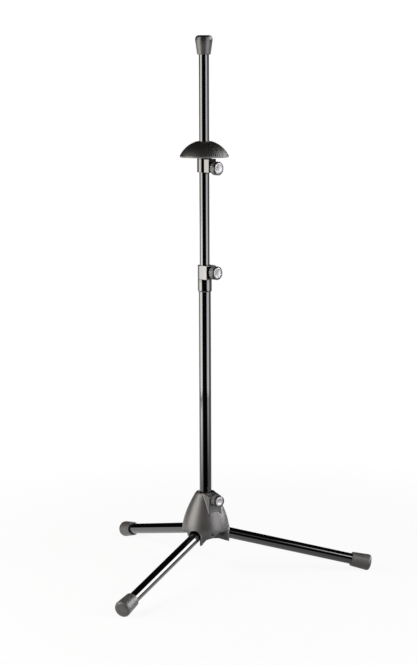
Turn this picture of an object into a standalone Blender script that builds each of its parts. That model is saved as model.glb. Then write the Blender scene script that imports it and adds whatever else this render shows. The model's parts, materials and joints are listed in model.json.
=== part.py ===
"""Folding trombone stand: a moulded hood with three folding legs, a pole held in the hood, a rod held
in the pole, and a bell rest that slides on the rod. Metres, +Z up. The origin is on the floor in the
middle of the footprint, and the right leg points along +X.
"""
import math

import bmesh
import bpy
from mathutils import Vector

MM = 0.001

# Fits
GAP = 0.3 * MM                    # between pieces that touch on the real stand
BORE_GAP = 0.3 * MM               # round a shaft, a screw or a tube in its bore
OVERLAP = 0.5 * MM                # how far solids run into each other where they are joined or cut

# Feet and legs
LEG_ANGLES = {"right": 0.0, "left": 120.0, "front": -120.0}
LEG_SLOPE = math.radians(13.2)    # below the horizontal, when open
LEG_RADIUS = 10.0 * MM
LEG_WALL = 1.5 * MM
FOOT_REACH = 307.4 * MM           # pole axis to the centre of a foot's outer end, along the floor
FOOT_LENGTH = 37.0 * MM
FOOT_NECK_RADIUS = 13.2 * MM
FOOT_END_RADIUS = 15.3 * MM
FOOT_END_ROUND = 5.0 * MM
FOOT_ROOF = 6.0 * MM              # solid rubber beyond the end of the leg tube
FOOT_FLAT_DEPTH = 0.7 * MM        # how far the rubber is flattened where it stands
RUBBER_EDGE = 0.8 * MM            # bevel round the mouth of a rubber cap
LEG_BUSH_LENGTH = 20.0 * MM
LEG_BUSH_NOSE = 1.8 * MM          # the bush's bevelled end, which shows at the tail of the tube

# Leg hinges
PIVOT_REACH = 30.0 * MM           # pole axis to hinge pin
LEG_TAIL = 9.0 * MM               # leg tube past the pin, towards the pole
PIN_RADIUS = 3.0 * MM
PIN_HEAD_RADIUS = 4.6 * MM
PIN_HEAD_HEIGHT = 1.6 * MM

# Hood, with heights above the hinge pins
HOOD_TOP = 76.2 * MM
HOOD_TOP_RADIUS = 16.4 * MM
HOOD_SHOULDER_RADIUS = 18.6 * MM
HOOD_SHOULDER_DROP = 2.0 * MM
HOOD_RADIUS = 43.3 * MM
HOOD_STRAIGHT_TOP = 9.0 * MM      # above this the hood curves in
HOOD_SWELL = 1.55                 # 1 is a straight cone, more is a rounder bell
SKIN_EDGE_HIGH = 5.4 * MM         # lower edge of the skin, where it leaves a leg's cheek and pin open
SKIN_EDGE_LOW = -3.8 * MM         # and where it starts to fall to the cheek of the leg before
SKIN_FALL_SPAN = 16.0 * MM        # this fall's width
SKIN_RISE_END = 2.0 * MM          # the edge is high from here on, past the middle between two legs
HOOD_WALL = 2.8 * MM
HOOD_ROOF = 6.0 * MM
HOOD_CORE_RADIUS = 17.0 * MM      # the tube guide inside the hood
HOOD_CORE_BOTTOM = 16.7 * MM
HOOD_MOUTH_RECESS_RADIUS = 14.2 * MM
HOOD_MOUTH_RECESS_DEPTH = 3.0 * MM
CHEEK_WALL = 4.2 * MM
CHEEK_TOP = 47.0 * MM
CHEEK_BOTTOM_INNER = -10.6 * MM
CHEEK_BOTTOM_OUTER = -16.6 * MM
CHEEK_STEP_REACH = 24.0 * MM      # where the cheek's lower edge starts to fall
CHEEK_ROOT_REACH = 8.0 * MM
MOUTH_LIP = 1.5 * MM              # the raised lip round a leg's mouth stands this far off the bell
LIP_INSET = 0.4 * MM              # the lip's edge lies inside the cheek's outer face
TUNNEL_START = 5.8 * MM           # the roof over a leg starts this far out from the pin
PIN_HOLE_RADIUS = 2.4 * MM        # a small hole in the skin that covers each pin's other end
PIN_HOLE_HEIGHT = 3.7 * MM
TAIL_RELIEF = 0.2 * MM            # widens the slot where the leg's tail swings
TAIL_SWEEP_END = 215.0            # degrees round the pin, from outward
HOOD_BOSS_HALF_WIDTH = 13.5 * MM
HOOD_BOSS_FRONT = 34.0 * MM
HOOD_BOSS_BOTTOM = 33.0 * MM
HOOD_BOSS_FALL = math.radians(11.0)
HOOD_BUSH_WALL = 2.5 * MM
HOOD_BUSH_HEIGHT = 14.0 * MM

# Pole, rod and what joins them, with heights above the floor
POLE_RADIUS = 11.0 * MM
POLE_WALL = 1.2 * MM
POLE_BOTTOM = 69.0 * MM
POLE_PLUG_FLANGE = 2.0 * MM
POLE_PLUG_DEPTH = 16.0 * MM
PLUG_EDGE = 1.0 * MM
COLLAR_BOTTOM = 526.4 * MM
COLLAR_LENGTH = 48.4 * MM
COLLAR_TOP = COLLAR_BOTTOM + COLLAR_LENGTH
COLLAR_RADIUS = 12.8 * MM
COLLAR_TAPER = 2.6 * MM
COLLAR_LIP = 1.0 * MM
COLLAR_SOCKET_DEPTH = 22.6 * MM   # how far the pole stands in the collar
COLLAR_BUSH_HEIGHT = 5.0 * MM
COLLAR_BOSS_HALF_WIDTH = 12.0 * MM
COLLAR_BOSS_FRONT = 16.5 * MM
COLLAR_BOSS_HEIGHT = 25.5 * MM
COLLAR_SCREW_DROP = 12.6 * MM     # from the collar's top to its clamp screw
ROD_RADIUS = 9.0 * MM
ROD_WALL = 1.2 * MM
ROD_REACH = 26.4 * MM             # how far the rod reaches down past the collar's lower end
ROD_BOTTOM = COLLAR_BOTTOM - ROD_REACH
ROD_PLUG_FLANGE = 8.0 * MM
ROD_PLUG_DEPTH = 18.0 * MM

# End cap
CAP_TOP = 985.5 * MM
CAP_LENGTH = 34.0 * MM
CAP_BOTTOM = CAP_TOP - CAP_LENGTH
CAP_NECK_RADIUS = 12.1 * MM
CAP_WIDE_RADIUS = 15.7 * MM
CAP_WIDE_DROP = 8.0 * MM          # from the top to the widest ring
CAP_TOP_ROUND = 6.0 * MM
CAP_GROOVE = 0.5 * MM
CAP_ROOF = 6.0 * MM

# Bell rest
SLEEVE_BOTTOM = 742.5 * MM
SLEEVE_LENGTH = 51.4 * MM
SLEEVE_TOP = SLEEVE_BOTTOM + SLEEVE_LENGTH
SLEEVE_RADIUS = 13.0 * MM
SLEEVE_BOSS_HALF_WIDTH = 9.5 * MM
SLEEVE_BOSS_FRONT = 20.5 * MM
SLEEVE_BOSS_HEIGHT = 24.0 * MM
SLEEVE_SCREW_RISE = 7.9 * MM      # from the sleeve's lower end to its clamp screw
SLEEVE_SEAT_RADIUS = 15.6 * MM    # the ring that carries the dome
SLEEVE_SEAT_HEIGHT = 3.0 * MM
SLEEVE_SEAT_RISE = 28.5 * MM      # from the sleeve's lower end to that ring
SLEEVE_SEAT_BOTTOM = SLEEVE_BOTTOM + SLEEVE_SEAT_RISE
SLEEVE_BUSH_HEIGHT = 8.0 * MM
DOME_RIM_DROP = 1.5 * MM          # from the sleeve's ring to the top of the dome's rim
DOME_RIM_HEIGHT = SLEEVE_SEAT_BOTTOM - DOME_RIM_DROP
DOME_RADIUS = 44.0 * MM
DOME_RIM = 3.0 * MM
DOME_SPHERE = 49.0 * MM
DOME_CROWN_RADIUS = 13.2 * MM
DOME_WALL = 2.4 * MM
DOME_HUB_WALL = 2.3 * MM
DOME_RIBS = 32
DOME_RIB_HEIGHT = 0.45 * MM
GUIDE_BUSH_WALL = 1.7 * MM

# Clamps: a knob turns a screw in a threaded insert, and the screw pushes a pad against the tube
SCREW_RADIUS = 4.0 * MM
SCREW_HEAD_RADIUS = 6.4 * MM
SCREW_HEAD_HEIGHT = 2.6 * MM
PAD_RADIUS = 3.3 * MM
PAD_HEIGHT = 2.6 * MM
INSERT_RADIUS = 6.4 * MM
SMALL_EDGE = 0.4 * MM             # bevel on the clamp pads and knob discs
DISC_DISH_DEPTH = 0.4 * MM
DISC_DISH_SHARE = 0.6             # of the disc's radius
DISC_HEIGHT = 1.5 * MM
KNOB_RIM = 2.5 * MM               # black ring round the bright disc
KNOB_EDGE = 1.2 * MM
KNOB_FLUTES = 16
KNOB_FLUTE_DEPTH = 0.7 * MM
UPPER_KNOB_AZIMUTH = math.radians(-46.4)
HOOD_KNOB_AZIMUTH = math.radians(-60.0)
CLAMPS = {
    "hood": dict(height=66.2 * MM, tube=POLE_RADIUS, insert=10.5 * MM, face=HOOD_BOSS_FRONT,
                 stand_off=0.6 * MM, knob_radius=10.6 * MM, knob_length=14.0 * MM,
                 azimuth=HOOD_KNOB_AZIMUTH),
    "collar": dict(height=COLLAR_TOP - COLLAR_SCREW_DROP, tube=ROD_RADIUS, insert=5.6 * MM,
                   face=COLLAR_BOSS_FRONT, stand_off=5.2 * MM, knob_radius=12.3 * MM, knob_length=12.0 * MM,
                   azimuth=UPPER_KNOB_AZIMUTH),
    "rest": dict(height=SLEEVE_BOTTOM + SLEEVE_SCREW_RISE, tube=ROD_RADIUS, insert=8.0 * MM,
                 face=SLEEVE_BOSS_FRONT, stand_off=4.4 * MM, knob_radius=12.3 * MM, knob_length=12.0 * MM,
                 azimuth=UPPER_KNOB_AZIMUTH),
}

# How finely round pieces are faceted
HOOD_STEPS = 42
TUBE_STEPS = 24
SMALL_STEPS = 14
ARC_STEPS = 4
HALF_ROUND_STEPS = 10
HOOD_CURVE_STEPS = 7
DOME_OUTER_STEPS = 4
DOME_INNER_STEPS = 3

# The exact solver leaves small holes where the hood's many cuts meet, so the hood uses the other one.
HOOD_SOLVER = "MANIFOLD"


for item in list(bpy.data.objects):
    bpy.data.objects.remove(item, do_unlink=True)


def new_collection(name):
    group = bpy.data.collections.new(name)
    bpy.context.scene.collection.children.link(group)
    return group


PARTS = new_collection("trombone_stand")
CUTTERS = new_collection("cutters")


def new_material(name, colour, roughness, metallic):
    """A Principled material."""
    made = bpy.data.materials.new(name)
    made.use_nodes = True
    shader = made.node_tree.nodes["Principled BSDF"]
    shader.inputs["Base Color"].default_value = (*colour, 1.0)
    shader.inputs["Roughness"].default_value = roughness
    shader.inputs["Metallic"].default_value = metallic
    return made


LACQUER = new_material("black_lacquer", (0.012, 0.012, 0.013), 0.12, 0.0)
MOULDING = new_material("grey_moulding", (0.075, 0.072, 0.075), 0.5, 0.0)
RUBBER = new_material("black_rubber", (0.045, 0.045, 0.047), 0.75, 0.0)
DOME_PLASTIC = new_material("dome_plastic", (0.02, 0.018, 0.016), 0.4, 0.0)
GRIP_PLASTIC = new_material("grip_plastic", (0.03, 0.03, 0.032), 0.45, 0.0)
CHROME = new_material("chrome", (0.85, 0.85, 0.87), 0.1, 1.0)
STEEL = new_material("zinc_steel", (0.55, 0.55, 0.56), 0.35, 1.0)
BLACK_STEEL = new_material("black_steel", (0.05, 0.05, 0.052), 0.4, 1.0)
BRASS = new_material("brass", (0.7, 0.55, 0.28), 0.35, 1.0)
NYLON = new_material("nylon", (0.05, 0.05, 0.052), 0.55, 0.0)


def anchor(name, location=(0.0, 0.0, 0.0), rotation=(0.0, 0.0, 0.0), parent=None):
    """An empty that pieces hang on; a moving one stands on its joint's axis."""
    empty = bpy.data.objects.new(name, None)
    empty.location = location
    empty.rotation_euler = rotation
    empty.parent = parent
    PARTS.objects.link(empty)
    return empty


def place(name, mesh, finish, parent, location=(0.0, 0.0, 0.0), rotation=(0.0, 0.0, 0.0)):
    """A piece of the stand, or a cutter where it has no finish."""
    piece = bpy.data.objects.new(name, mesh)
    piece.parent = parent
    piece.location = location
    piece.rotation_euler = rotation
    if finish is None:
        CUTTERS.objects.link(piece)
        piece.hide_render = True
        piece.display_type = "WIRE"
    else:
        PARTS.objects.link(piece)
        mesh.materials.append(finish)
    return piece


def turned(name, outline, finish, parent, steps=TUBE_STEPS, ring=True, **where):
    """An outline of (radius, height) points turned about the piece's Z. It runs down the outer side
    first. A ring closes on itself; any other outline starts and ends on the axis."""
    mesh = bpy.data.meshes.new(name)
    count = len(outline)
    edges = [(i, i + 1) for i in range(count - 1)]
    if ring:
        edges.append((count - 1, 0))
    mesh.from_pydata([(radius, 0.0, height) for radius, height in outline], edges, [])
    piece = place(name, mesh, finish, parent, **where)
    screw = piece.modifiers.new("turn", "SCREW")
    screw.axis = "Z"
    screw.steps = steps
    screw.render_steps = steps
    screw.use_merge_vertices = True
    screw.merge_threshold = 0.00001
    screw.use_smooth_shade = True
    return piece


def rod_outline(radius, low, high):
    """A plain round bar."""
    return [(0.0, high), (radius, high), (radius, low), (0.0, low)]


def eased_rod_outline(radius, low, high, edge):
    """A round bar with a bevel round both ends."""
    return [(0.0, high), (radius - edge, high), (radius, high - edge),
            (radius, low + edge), (radius - edge, low), (0.0, low)]


def tube_outline(outer, inner, low, high):
    """A plain round tube."""
    return [(outer, high), (outer, low), (inner, low), (inner, high)]


def arc(centre, radius, start, end, steps=ARC_STEPS):
    """Points on an arc about centre, from one angle to another, in radians."""
    angles = [start + (end - start) * i / steps for i in range(steps + 1)]
    return [(centre[0] + radius * math.cos(a), centre[1] + radius * math.sin(a)) for a in angles]


def box(name, low, high, finish, parent, **where):
    """A box between two corners."""
    mesh = bpy.data.meshes.new(name)
    shape = bmesh.new()
    bmesh.ops.create_cube(shape, size=1.0)
    size = [b - a for a, b in zip(low, high)]
    middle = [(a + b) / 2 for a, b in zip(low, high)]
    bmesh.ops.scale(shape, vec=size, verts=shape.verts)
    bmesh.ops.translate(shape, vec=middle, verts=shape.verts)
    shape.to_mesh(mesh)
    shape.free()
    return place(name, mesh, finish, parent, **where)


def plate(name, outline, thickness, finish, parent, **where):
    """A flat outline in the piece's XY plane with its thickness shared on both sides: a filled 2D
    curve that is made a mesh."""
    curve = bpy.data.curves.new(name, "CURVE")
    curve.dimensions = "2D"
    curve.fill_mode = "BOTH"
    curve.extrude = thickness / 2
    line = curve.splines.new("POLY")
    line.points.add(len(outline) - 1)
    for point, (x, y) in zip(line.points, outline):
        point.co = (x, y, 0.0, 1.0)
    line.use_cyclic_u = True
    drawn = bpy.data.objects.new(name + "_outline", curve)
    PARTS.objects.link(drawn)
    mesh = bpy.data.meshes.new_from_object(drawn.evaluated_get(bpy.context.evaluated_depsgraph_get()))
    bpy.data.objects.remove(drawn, do_unlink=True)
    shape = bmesh.new()
    shape.from_mesh(mesh)
    bmesh.ops.remove_doubles(shape, verts=shape.verts, dist=0.000001)
    bmesh.ops.recalc_face_normals(shape, faces=shape.faces)
    shape.to_mesh(mesh)
    shape.free()
    return place(name, mesh, finish, parent, **where)


def boolean(piece, tool, operation="DIFFERENCE", solver="EXACT"):
    """Cuts, joins or clips a piece with another solid."""
    change = piece.modifiers.new(tool.name, "BOOLEAN")
    change.operation = operation
    change.object = tool
    change.solver = solver


def flute(piece, inside, depth, low, high):
    """Draws every second line of a turned piece in by depth, where it stands outside a radius and
    between two heights. The turning is made a mesh first."""
    bpy.context.view_layer.update()
    mesh = bpy.data.meshes.new_from_object(
        piece.evaluated_get(bpy.context.evaluated_depsgraph_get()))
    steps = piece.modifiers["turn"].steps
    piece.modifiers.clear()
    piece.data = mesh
    for point in mesh.vertices:
        x, y, z = point.co
        radius = math.hypot(x, y)
        line = round(math.atan2(y, x) / (2 * math.pi) * steps) % steps
        if line % 2 and radius > inside and low < z < high:
            point.co.x = x * (radius - depth) / radius
            point.co.y = y * (radius - depth) / radius


def foot_height():
    """Height of the centre of a foot's outer end, so that its lowest point is flattened at z = 0."""
    round_centre = FOOT_END_RADIUS - FOOT_END_ROUND
    drop = FOOT_END_ROUND + round_centre * math.cos(LEG_SLOPE) - FOOT_END_ROUND * math.sin(LEG_SLOPE)
    return drop - FOOT_FLAT_DEPTH


PIVOT_HEIGHT = foot_height() + (FOOT_REACH - PIVOT_REACH) * math.tan(LEG_SLOPE)
LEG_LENGTH = (FOOT_REACH - PIVOT_REACH) / math.cos(LEG_SLOPE)   # hinge pin to the foot's outer end
LEG_SLOT = LEG_RADIUS + GAP       # half the width between a leg's two cheeks
POLE_BORE = POLE_RADIUS + BORE_GAP
ROD_BORE = ROD_RADIUS + BORE_GAP

stand = anchor("stand")


def leg_direction(side):
    """A leg's direction over the floor, and its angle."""
    angle = math.radians(LEG_ANGLES[side])
    return math.cos(angle), math.sin(angle), angle


def slot_axis(side):
    """Stands on a hinge pin's middle, with +Z out along the open leg."""
    x, y, angle = leg_direction(side)
    return anchor("slot_axis_" + side, (PIVOT_REACH * x, PIVOT_REACH * y, PIVOT_HEIGHT),
                  (0.0, math.pi / 2 + LEG_SLOPE, angle), stand)


SLOT_AXES = {side: slot_axis(side) for side in LEG_ANGLES}


def hood_outline():
    """The hood's outer side, from its top rim down to the bottom of its straight part."""
    top = PIVOT_HEIGHT + HOOD_TOP
    shoulder = top - HOOD_SHOULDER_DROP
    straight = PIVOT_HEIGHT + HOOD_STRAIGHT_TOP
    fall = shoulder - straight
    swell = HOOD_RADIUS - HOOD_SHOULDER_RADIUS
    curve = []
    for i in range(HOOD_CURVE_STEPS + 1):
        down = i / HOOD_CURVE_STEPS
        # The side leaves the shoulder at a steady slope and turns upright at the bottom.
        radius = HOOD_SHOULDER_RADIUS + swell * (1 - (1 - down) ** HOOD_SWELL)
        curve.append((radius, shoulder - fall * down))
    return [(HOOD_TOP_RADIUS, top)] + curve


def arch_outline(half_width):
    """A half round over straight sides that run down past everything."""
    below = HOOD_RADIUS
    return (arc((0.0, 0.0), half_width, 0.0, math.pi, HALF_ROUND_STEPS)
            + [(-half_width, -below), (half_width, -below)])


def solid_hood():
    """The hood's outer form as a solid: the turned bell, a lip round each leg's mouth and the
    clamp boss."""
    top = PIVOT_HEIGHT + HOOD_TOP
    lowest = PIVOT_HEIGHT + CHEEK_BOTTOM_OUTER - HOOD_WALL
    hood = turned("base_hood", [(0.0, top)] + hood_outline() + [(HOOD_RADIUS, lowest), (0.0, lowest)],
                  MOULDING, stand, steps=HOOD_STEPS, ring=False)
    swollen = [(radius + MOUTH_LIP, height) for radius, height in hood_outline()]
    for side, axis in SLOT_AXES.items():
        lip = plate("lip_" + side, arch_outline(LEG_SLOT + CHEEK_WALL - LIP_INSET), HOOD_RADIUS, None,
                    axis, location=(0.0, 0.0, HOOD_RADIUS / 2), rotation=(0.0, 0.0, math.pi / 2))
        bell = turned("swollen_bell_" + side, [(0.0, swollen[0][1])] + swollen
                      + [(HOOD_RADIUS + MOUTH_LIP, lowest + OVERLAP), (0.0, lowest + OVERLAP)],
                      None, stand, steps=HOOD_STEPS, ring=False)
        boolean(lip, bell, "INTERSECT", HOOD_SOLVER)
        boolean(hood, lip, "UNION", HOOD_SOLVER)
    fall = (HOOD_BOSS_FRONT - HOOD_TOP_RADIUS) * math.tan(HOOD_BOSS_FALL)
    bottom = PIVOT_HEIGHT + HOOD_BOSS_BOTTOM
    outline = [(OVERLAP, bottom), (HOOD_BOSS_FRONT, bottom), (HOOD_BOSS_FRONT, top - fall),
               (HOOD_TOP_RADIUS, top - GAP), (OVERLAP, top - GAP)]
    boss = plate("hood_boss", outline, 2 * HOOD_BOSS_HALF_WIDTH, None, stand,
                 rotation=(math.pi / 2, 0.0, HOOD_KNOB_AZIMUTH))
    boolean(hood, boss, "UNION", HOOD_SOLVER)
    return hood, boss


def skin_gap(side):
    """The room under the skin's lower edge between a leg and the next one round. Beside the first leg
    the edge falls to the cheek's foot, and beside the next it stays high."""
    foot = PIVOT_HEIGHT + CHEEK_BOTTOM_OUTER
    low = PIVOT_HEIGHT + SKIN_EDGE_LOW
    high = PIVOT_HEIGHT + SKIN_EDGE_HIGH
    half_turn = math.pi / len(LEG_ANGLES)
    outside = HOOD_RADIUS + HOOD_WALL
    start = -HOOD_RADIUS * math.sin(half_turn - math.asin((LEG_SLOT + CHEEK_WALL) / HOOD_RADIUS))
    end = outside * math.sin(half_turn - math.asin((LEG_SLOT + CHEEK_WALL) / outside))
    fall = [(start + SKIN_FALL_SPAN * (1 + x), foot + (low - foot) * y)
            for x, y in arc((0.0, 0.0), 1.0, math.pi, math.pi / 2, HALF_ROUND_STEPS // 2)]
    outline = fall + [(SKIN_RISE_END, high), (end, high), (end, foot - HOOD_WALL), (start, foot - HOOD_WALL)]
    middle = leg_direction(side)[2] + half_turn
    return plate("skin_gap_" + side, outline, HOOD_RADIUS, None, stand,
                 location=(HOOD_RADIUS * math.cos(middle), HOOD_RADIUS * math.sin(middle), 0.0),
                 rotation=(math.pi / 2, 0.0, middle + math.pi / 2))


def hood_cavity(boss):
    """The space inside the hood and under its skin's edge, less what stands in it: two flat cheeks
    beside each leg, a tunnel roof over each leg, and the clamp boss."""
    top = PIVOT_HEIGHT + HOOD_TOP
    core_bottom = PIVOT_HEIGHT + HOOD_CORE_BOTTOM
    cheek_foot = PIVOT_HEIGHT + CHEEK_BOTTOM_OUTER
    below = cheek_foot - 2 * HOOD_WALL
    outside = HOOD_RADIUS + HOOD_WALL
    skin = [(radius - HOOD_WALL, height) for radius, height in hood_outline()
            if height < top - HOOD_ROOF and radius - HOOD_WALL > HOOD_CORE_RADIUS + HOOD_WALL]
    outline = ([(0.0, core_bottom), (HOOD_CORE_RADIUS, core_bottom), (HOOD_CORE_RADIUS, skin[0][1])]
               + skin + [(HOOD_RADIUS - HOOD_WALL, cheek_foot), (outside, cheek_foot),
                         (outside, below), (0.0, below)])
    cavity = turned("hood_cavity", outline, None, stand, steps=HOOD_STEPS, ring=False)
    for side in LEG_ANGLES:
        boolean(cavity, skin_gap(side), "UNION", HOOD_SOLVER)
    cheek = [(CHEEK_ROOT_REACH, PIVOT_HEIGHT + CHEEK_BOTTOM_INNER),
             (CHEEK_STEP_REACH, PIVOT_HEIGHT + CHEEK_BOTTOM_INNER),
             (HOOD_RADIUS, cheek_foot), (outside + OVERLAP, cheek_foot),
             (outside + OVERLAP, PIVOT_HEIGHT + CHEEK_TOP), (CHEEK_ROOT_REACH, PIVOT_HEIGHT + CHEEK_TOP)]
    inner = LEG_SLOT - OVERLAP
    outer = LEG_SLOT + CHEEK_WALL
    for side in LEG_ANGLES:
        x, y, angle = leg_direction(side)
        for label, sign in (("a", 1.0), ("b", -1.0)):
            middle = sign * (inner + outer) / 2
            wall = plate("cheek_" + side + "_" + label, cheek, outer - inner, None, stand,
                         location=(-y * middle, x * middle, 0.0), rotation=(math.pi / 2, 0.0, angle))
            boolean(cavity, wall, solver=HOOD_SOLVER)
    for side, axis in SLOT_AXES.items():
        roof = turned("tunnel_" + side,
                      rod_outline(LEG_SLOT + CHEEK_WALL - LIP_INSET - OVERLAP, TUNNEL_START, HOOD_RADIUS),
                      None, axis, ring=False)
        boolean(cavity, roof, solver=HOOD_SOLVER)
    boolean(cavity, boss, solver=HOOD_SOLVER)
    return cavity


def hood_bore():
    """The pole's bore through the hood, with a recess at the top and the guide bush's seat below."""
    top = PIVOT_HEIGHT + HOOD_TOP
    recess_bottom = top - HOOD_MOUTH_RECESS_DEPTH
    core_bottom = PIVOT_HEIGHT + HOOD_CORE_BOTTOM
    seat = POLE_BORE + HOOD_BUSH_WALL + GAP
    seat_top = core_bottom + HOOD_BUSH_HEIGHT + GAP
    outline = [(0.0, top + OVERLAP), (HOOD_MOUTH_RECESS_RADIUS, top + OVERLAP),
               (HOOD_MOUTH_RECESS_RADIUS, recess_bottom), (POLE_BORE, recess_bottom),
               (POLE_BORE, seat_top), (seat, seat_top), (seat, core_bottom - OVERLAP),
               (POLE_BORE, core_bottom - OVERLAP), (POLE_BORE, 0.0), (0.0, 0.0)]
    return turned("hood_bore", outline, None, stand, steps=HOOD_STEPS, ring=False)


def cut_leg_room(hood):
    """Cuts each leg's slot, the room that its tail sweeps, its pin's bore through both cheeks and
    the small hole in the skin that covers one end of the pin."""
    slot_length = 2 * (HOOD_RADIUS + HOOD_WALL)
    sweep = math.hypot(LEG_TAIL, LEG_RADIUS) + GAP
    sweep_out = LEG_RADIUS + GAP
    swept = arc((PIVOT_REACH, PIVOT_HEIGHT), sweep, math.acos(sweep_out / sweep),
                math.radians(TAIL_SWEEP_END), HALF_ROUND_STEPS)
    swept += [(PIVOT_REACH, PIVOT_HEIGHT - sweep / 2), (PIVOT_REACH + sweep_out, PIVOT_HEIGHT)]
    cheek_out = LEG_SLOT + CHEEK_WALL + OVERLAP
    for side, axis in SLOT_AXES.items():
        angle = leg_direction(side)[2]
        # The arch's up is the slot axis's -X, which points up and out.
        slot = plate("slot_" + side, arch_outline(LEG_SLOT), slot_length, None, axis,
                     location=(0.0, 0.0, slot_length / 2 - PIVOT_REACH), rotation=(0.0, 0.0, math.pi / 2))
        boolean(hood, slot, solver=HOOD_SOLVER)
        room = plate("tail_room_" + side, swept, 2 * (LEG_SLOT + TAIL_RELIEF), None, stand,
                     rotation=(math.pi / 2, 0.0, angle))
        boolean(hood, room, solver=HOOD_SOLVER)
        across = dict(location=axis.location, rotation=(math.pi / 2, 0.0, angle))
        bore = turned("pin_bore_" + side, rod_outline(PIN_RADIUS + BORE_GAP, -cheek_out, cheek_out),
                      None, stand, steps=SMALL_STEPS, ring=False, **across)
        boolean(hood, bore, solver=HOOD_SOLVER)
        across["location"] = axis.location + Vector((0.0, 0.0, PIN_HOLE_HEIGHT))
        hole = turned("pin_hole_" + side, rod_outline(PIN_HOLE_RADIUS, -HOOD_RADIUS, -cheek_out - CHEEK_WALL),
                      None, stand, steps=SMALL_STEPS, ring=False, **across)
        boolean(hood, hole, solver=HOOD_SOLVER)


def clamp_anchor(kind, parent):
    """The clamp's screw axis: its +Z points out of the stand from the pole's axis."""
    sizes = CLAMPS[kind]
    height = sizes["height"] + (PIVOT_HEIGHT if kind == "hood" else 0.0)
    return anchor(kind + "_clamp", (0.0, 0.0, height), (0.0, math.pi / 2, sizes["azimuth"]), parent)


def bore_for_clamp(kind, piece, axis):
    """Drills a boss for the screw and its threaded insert."""
    sizes = CLAMPS[kind]
    drill = turned(kind + "_screw_bore",
                   rod_outline(SCREW_RADIUS + BORE_GAP, 0.0, sizes["face"] + sizes["tube"]), None, axis,
                   steps=SMALL_STEPS, ring=False)
    solver = HOOD_SOLVER if kind == "hood" else "EXACT"
    boolean(piece, drill, solver=solver)
    pocket = turned(kind + "_insert_pocket",
                    rod_outline(INSERT_RADIUS + BORE_GAP, sizes["face"] - sizes["insert"] - GAP,
                                sizes["face"] + sizes["tube"]), None, axis,
                    steps=SMALL_STEPS, ring=False)
    boolean(piece, pocket, solver=solver)


def build_clamp(kind, axis):
    """Threaded insert, pad, screw, fluted grip and bright end disc, along the clamp's axis."""
    sizes = CLAMPS[kind]
    face = sizes["face"]
    turned(kind + "_thread_insert",
           tube_outline(INSERT_RADIUS, SCREW_RADIUS + BORE_GAP, face - sizes["insert"], face - GAP),
           BRASS, axis, steps=SMALL_STEPS)
    pad_low = sizes["tube"] + GAP
    pad_high = pad_low + PAD_HEIGHT
    turned(kind + "_clamp_pad", eased_rod_outline(PAD_RADIUS, pad_low, pad_high, SMALL_EDGE), NYLON,
           axis, steps=SMALL_STEPS, ring=False)

    back = face + sizes["stand_off"]
    length = sizes["knob_length"]
    front = back + length
    radius = sizes["knob_radius"]
    recess = front - DISC_HEIGHT - GAP
    seat = recess - SCREW_HEAD_HEIGHT - GAP
    disc_radius = radius - KNOB_RIM
    turned(kind + "_clamp_screw",
           [(0.0, recess - GAP), (SCREW_HEAD_RADIUS, recess - GAP), (SCREW_HEAD_RADIUS, seat + GAP),
            (SCREW_RADIUS, seat + GAP), (SCREW_RADIUS, pad_high + GAP), (0.0, pad_high + GAP)],
           STEEL, axis, steps=SMALL_STEPS, ring=False)
    bore = SCREW_RADIUS + BORE_GAP
    head_bore = SCREW_HEAD_RADIUS + BORE_GAP
    grip = turned(kind + "_knob_grip",
                  [(disc_radius + GAP, front), (radius - KNOB_EDGE, front), (radius, front - KNOB_EDGE),
                   (radius, back + KNOB_EDGE), (radius - KNOB_EDGE, back), (bore, back), (bore, seat),
                   (head_bore, seat), (head_bore, recess), (disc_radius + GAP, recess)],
                  GRIP_PLASTIC, axis, steps=2 * KNOB_FLUTES)
    flute(grip, radius - KNOB_EDGE / 2, KNOB_FLUTE_DEPTH, back, front - KNOB_EDGE - GAP)
    dish = disc_radius * DISC_DISH_SHARE
    turned(kind + "_knob_disc",
           [(0.0, front - DISC_DISH_DEPTH), (dish, front - DISC_DISH_DEPTH), (dish + SMALL_EDGE, front),
            (disc_radius - SMALL_EDGE, front), (disc_radius, front - SMALL_EDGE),
            (disc_radius, front - DISC_HEIGHT), (0.0, front - DISC_HEIGHT)],
           CHROME, axis, steps=TUBE_STEPS, ring=False)


def build_base():
    """Hood, hinge pins, the bush that guides the pole, and the pole's clamp."""
    hood, boss = solid_hood()
    boolean(hood, hood_cavity(boss), solver=HOOD_SOLVER)
    boolean(hood, hood_bore(), solver=HOOD_SOLVER)
    cut_leg_room(hood)
    axis = clamp_anchor("hood", stand)
    bore_for_clamp("hood", hood, axis)
    build_clamp("hood", axis)
    bush = anchor("hood_bush_turn", (0.0, 0.0, PIVOT_HEIGHT), parent=stand)
    turned("hood_guide_bush",
           tube_outline(POLE_BORE + HOOD_BUSH_WALL, POLE_BORE, HOOD_CORE_BOTTOM,
                        HOOD_CORE_BOTTOM + HOOD_BUSH_HEIGHT), NYLON, bush, steps=TUBE_STEPS)

    grip = LEG_SLOT + CHEEK_WALL + GAP
    end = grip + PIN_HEAD_HEIGHT
    edge = PIN_HEAD_HEIGHT / 2
    for side in LEG_ANGLES:
        x, y, angle = leg_direction(side)
        turned("hinge_pin_" + side,
               [(0.0, end), (PIN_HEAD_RADIUS - edge, end), (PIN_HEAD_RADIUS, end - edge),
                (PIN_HEAD_RADIUS, grip), (PIN_RADIUS, grip), (PIN_RADIUS, -grip),
                (PIN_HEAD_RADIUS, -grip), (PIN_HEAD_RADIUS, edge - end),
                (PIN_HEAD_RADIUS - edge, -end), (0.0, -end)],
               BLACK_STEEL, stand, steps=SMALL_STEPS, ring=False,
               location=(PIVOT_REACH * x, PIVOT_REACH * y, PIVOT_HEIGHT),
               rotation=(math.pi / 2, 0.0, angle))


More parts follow.
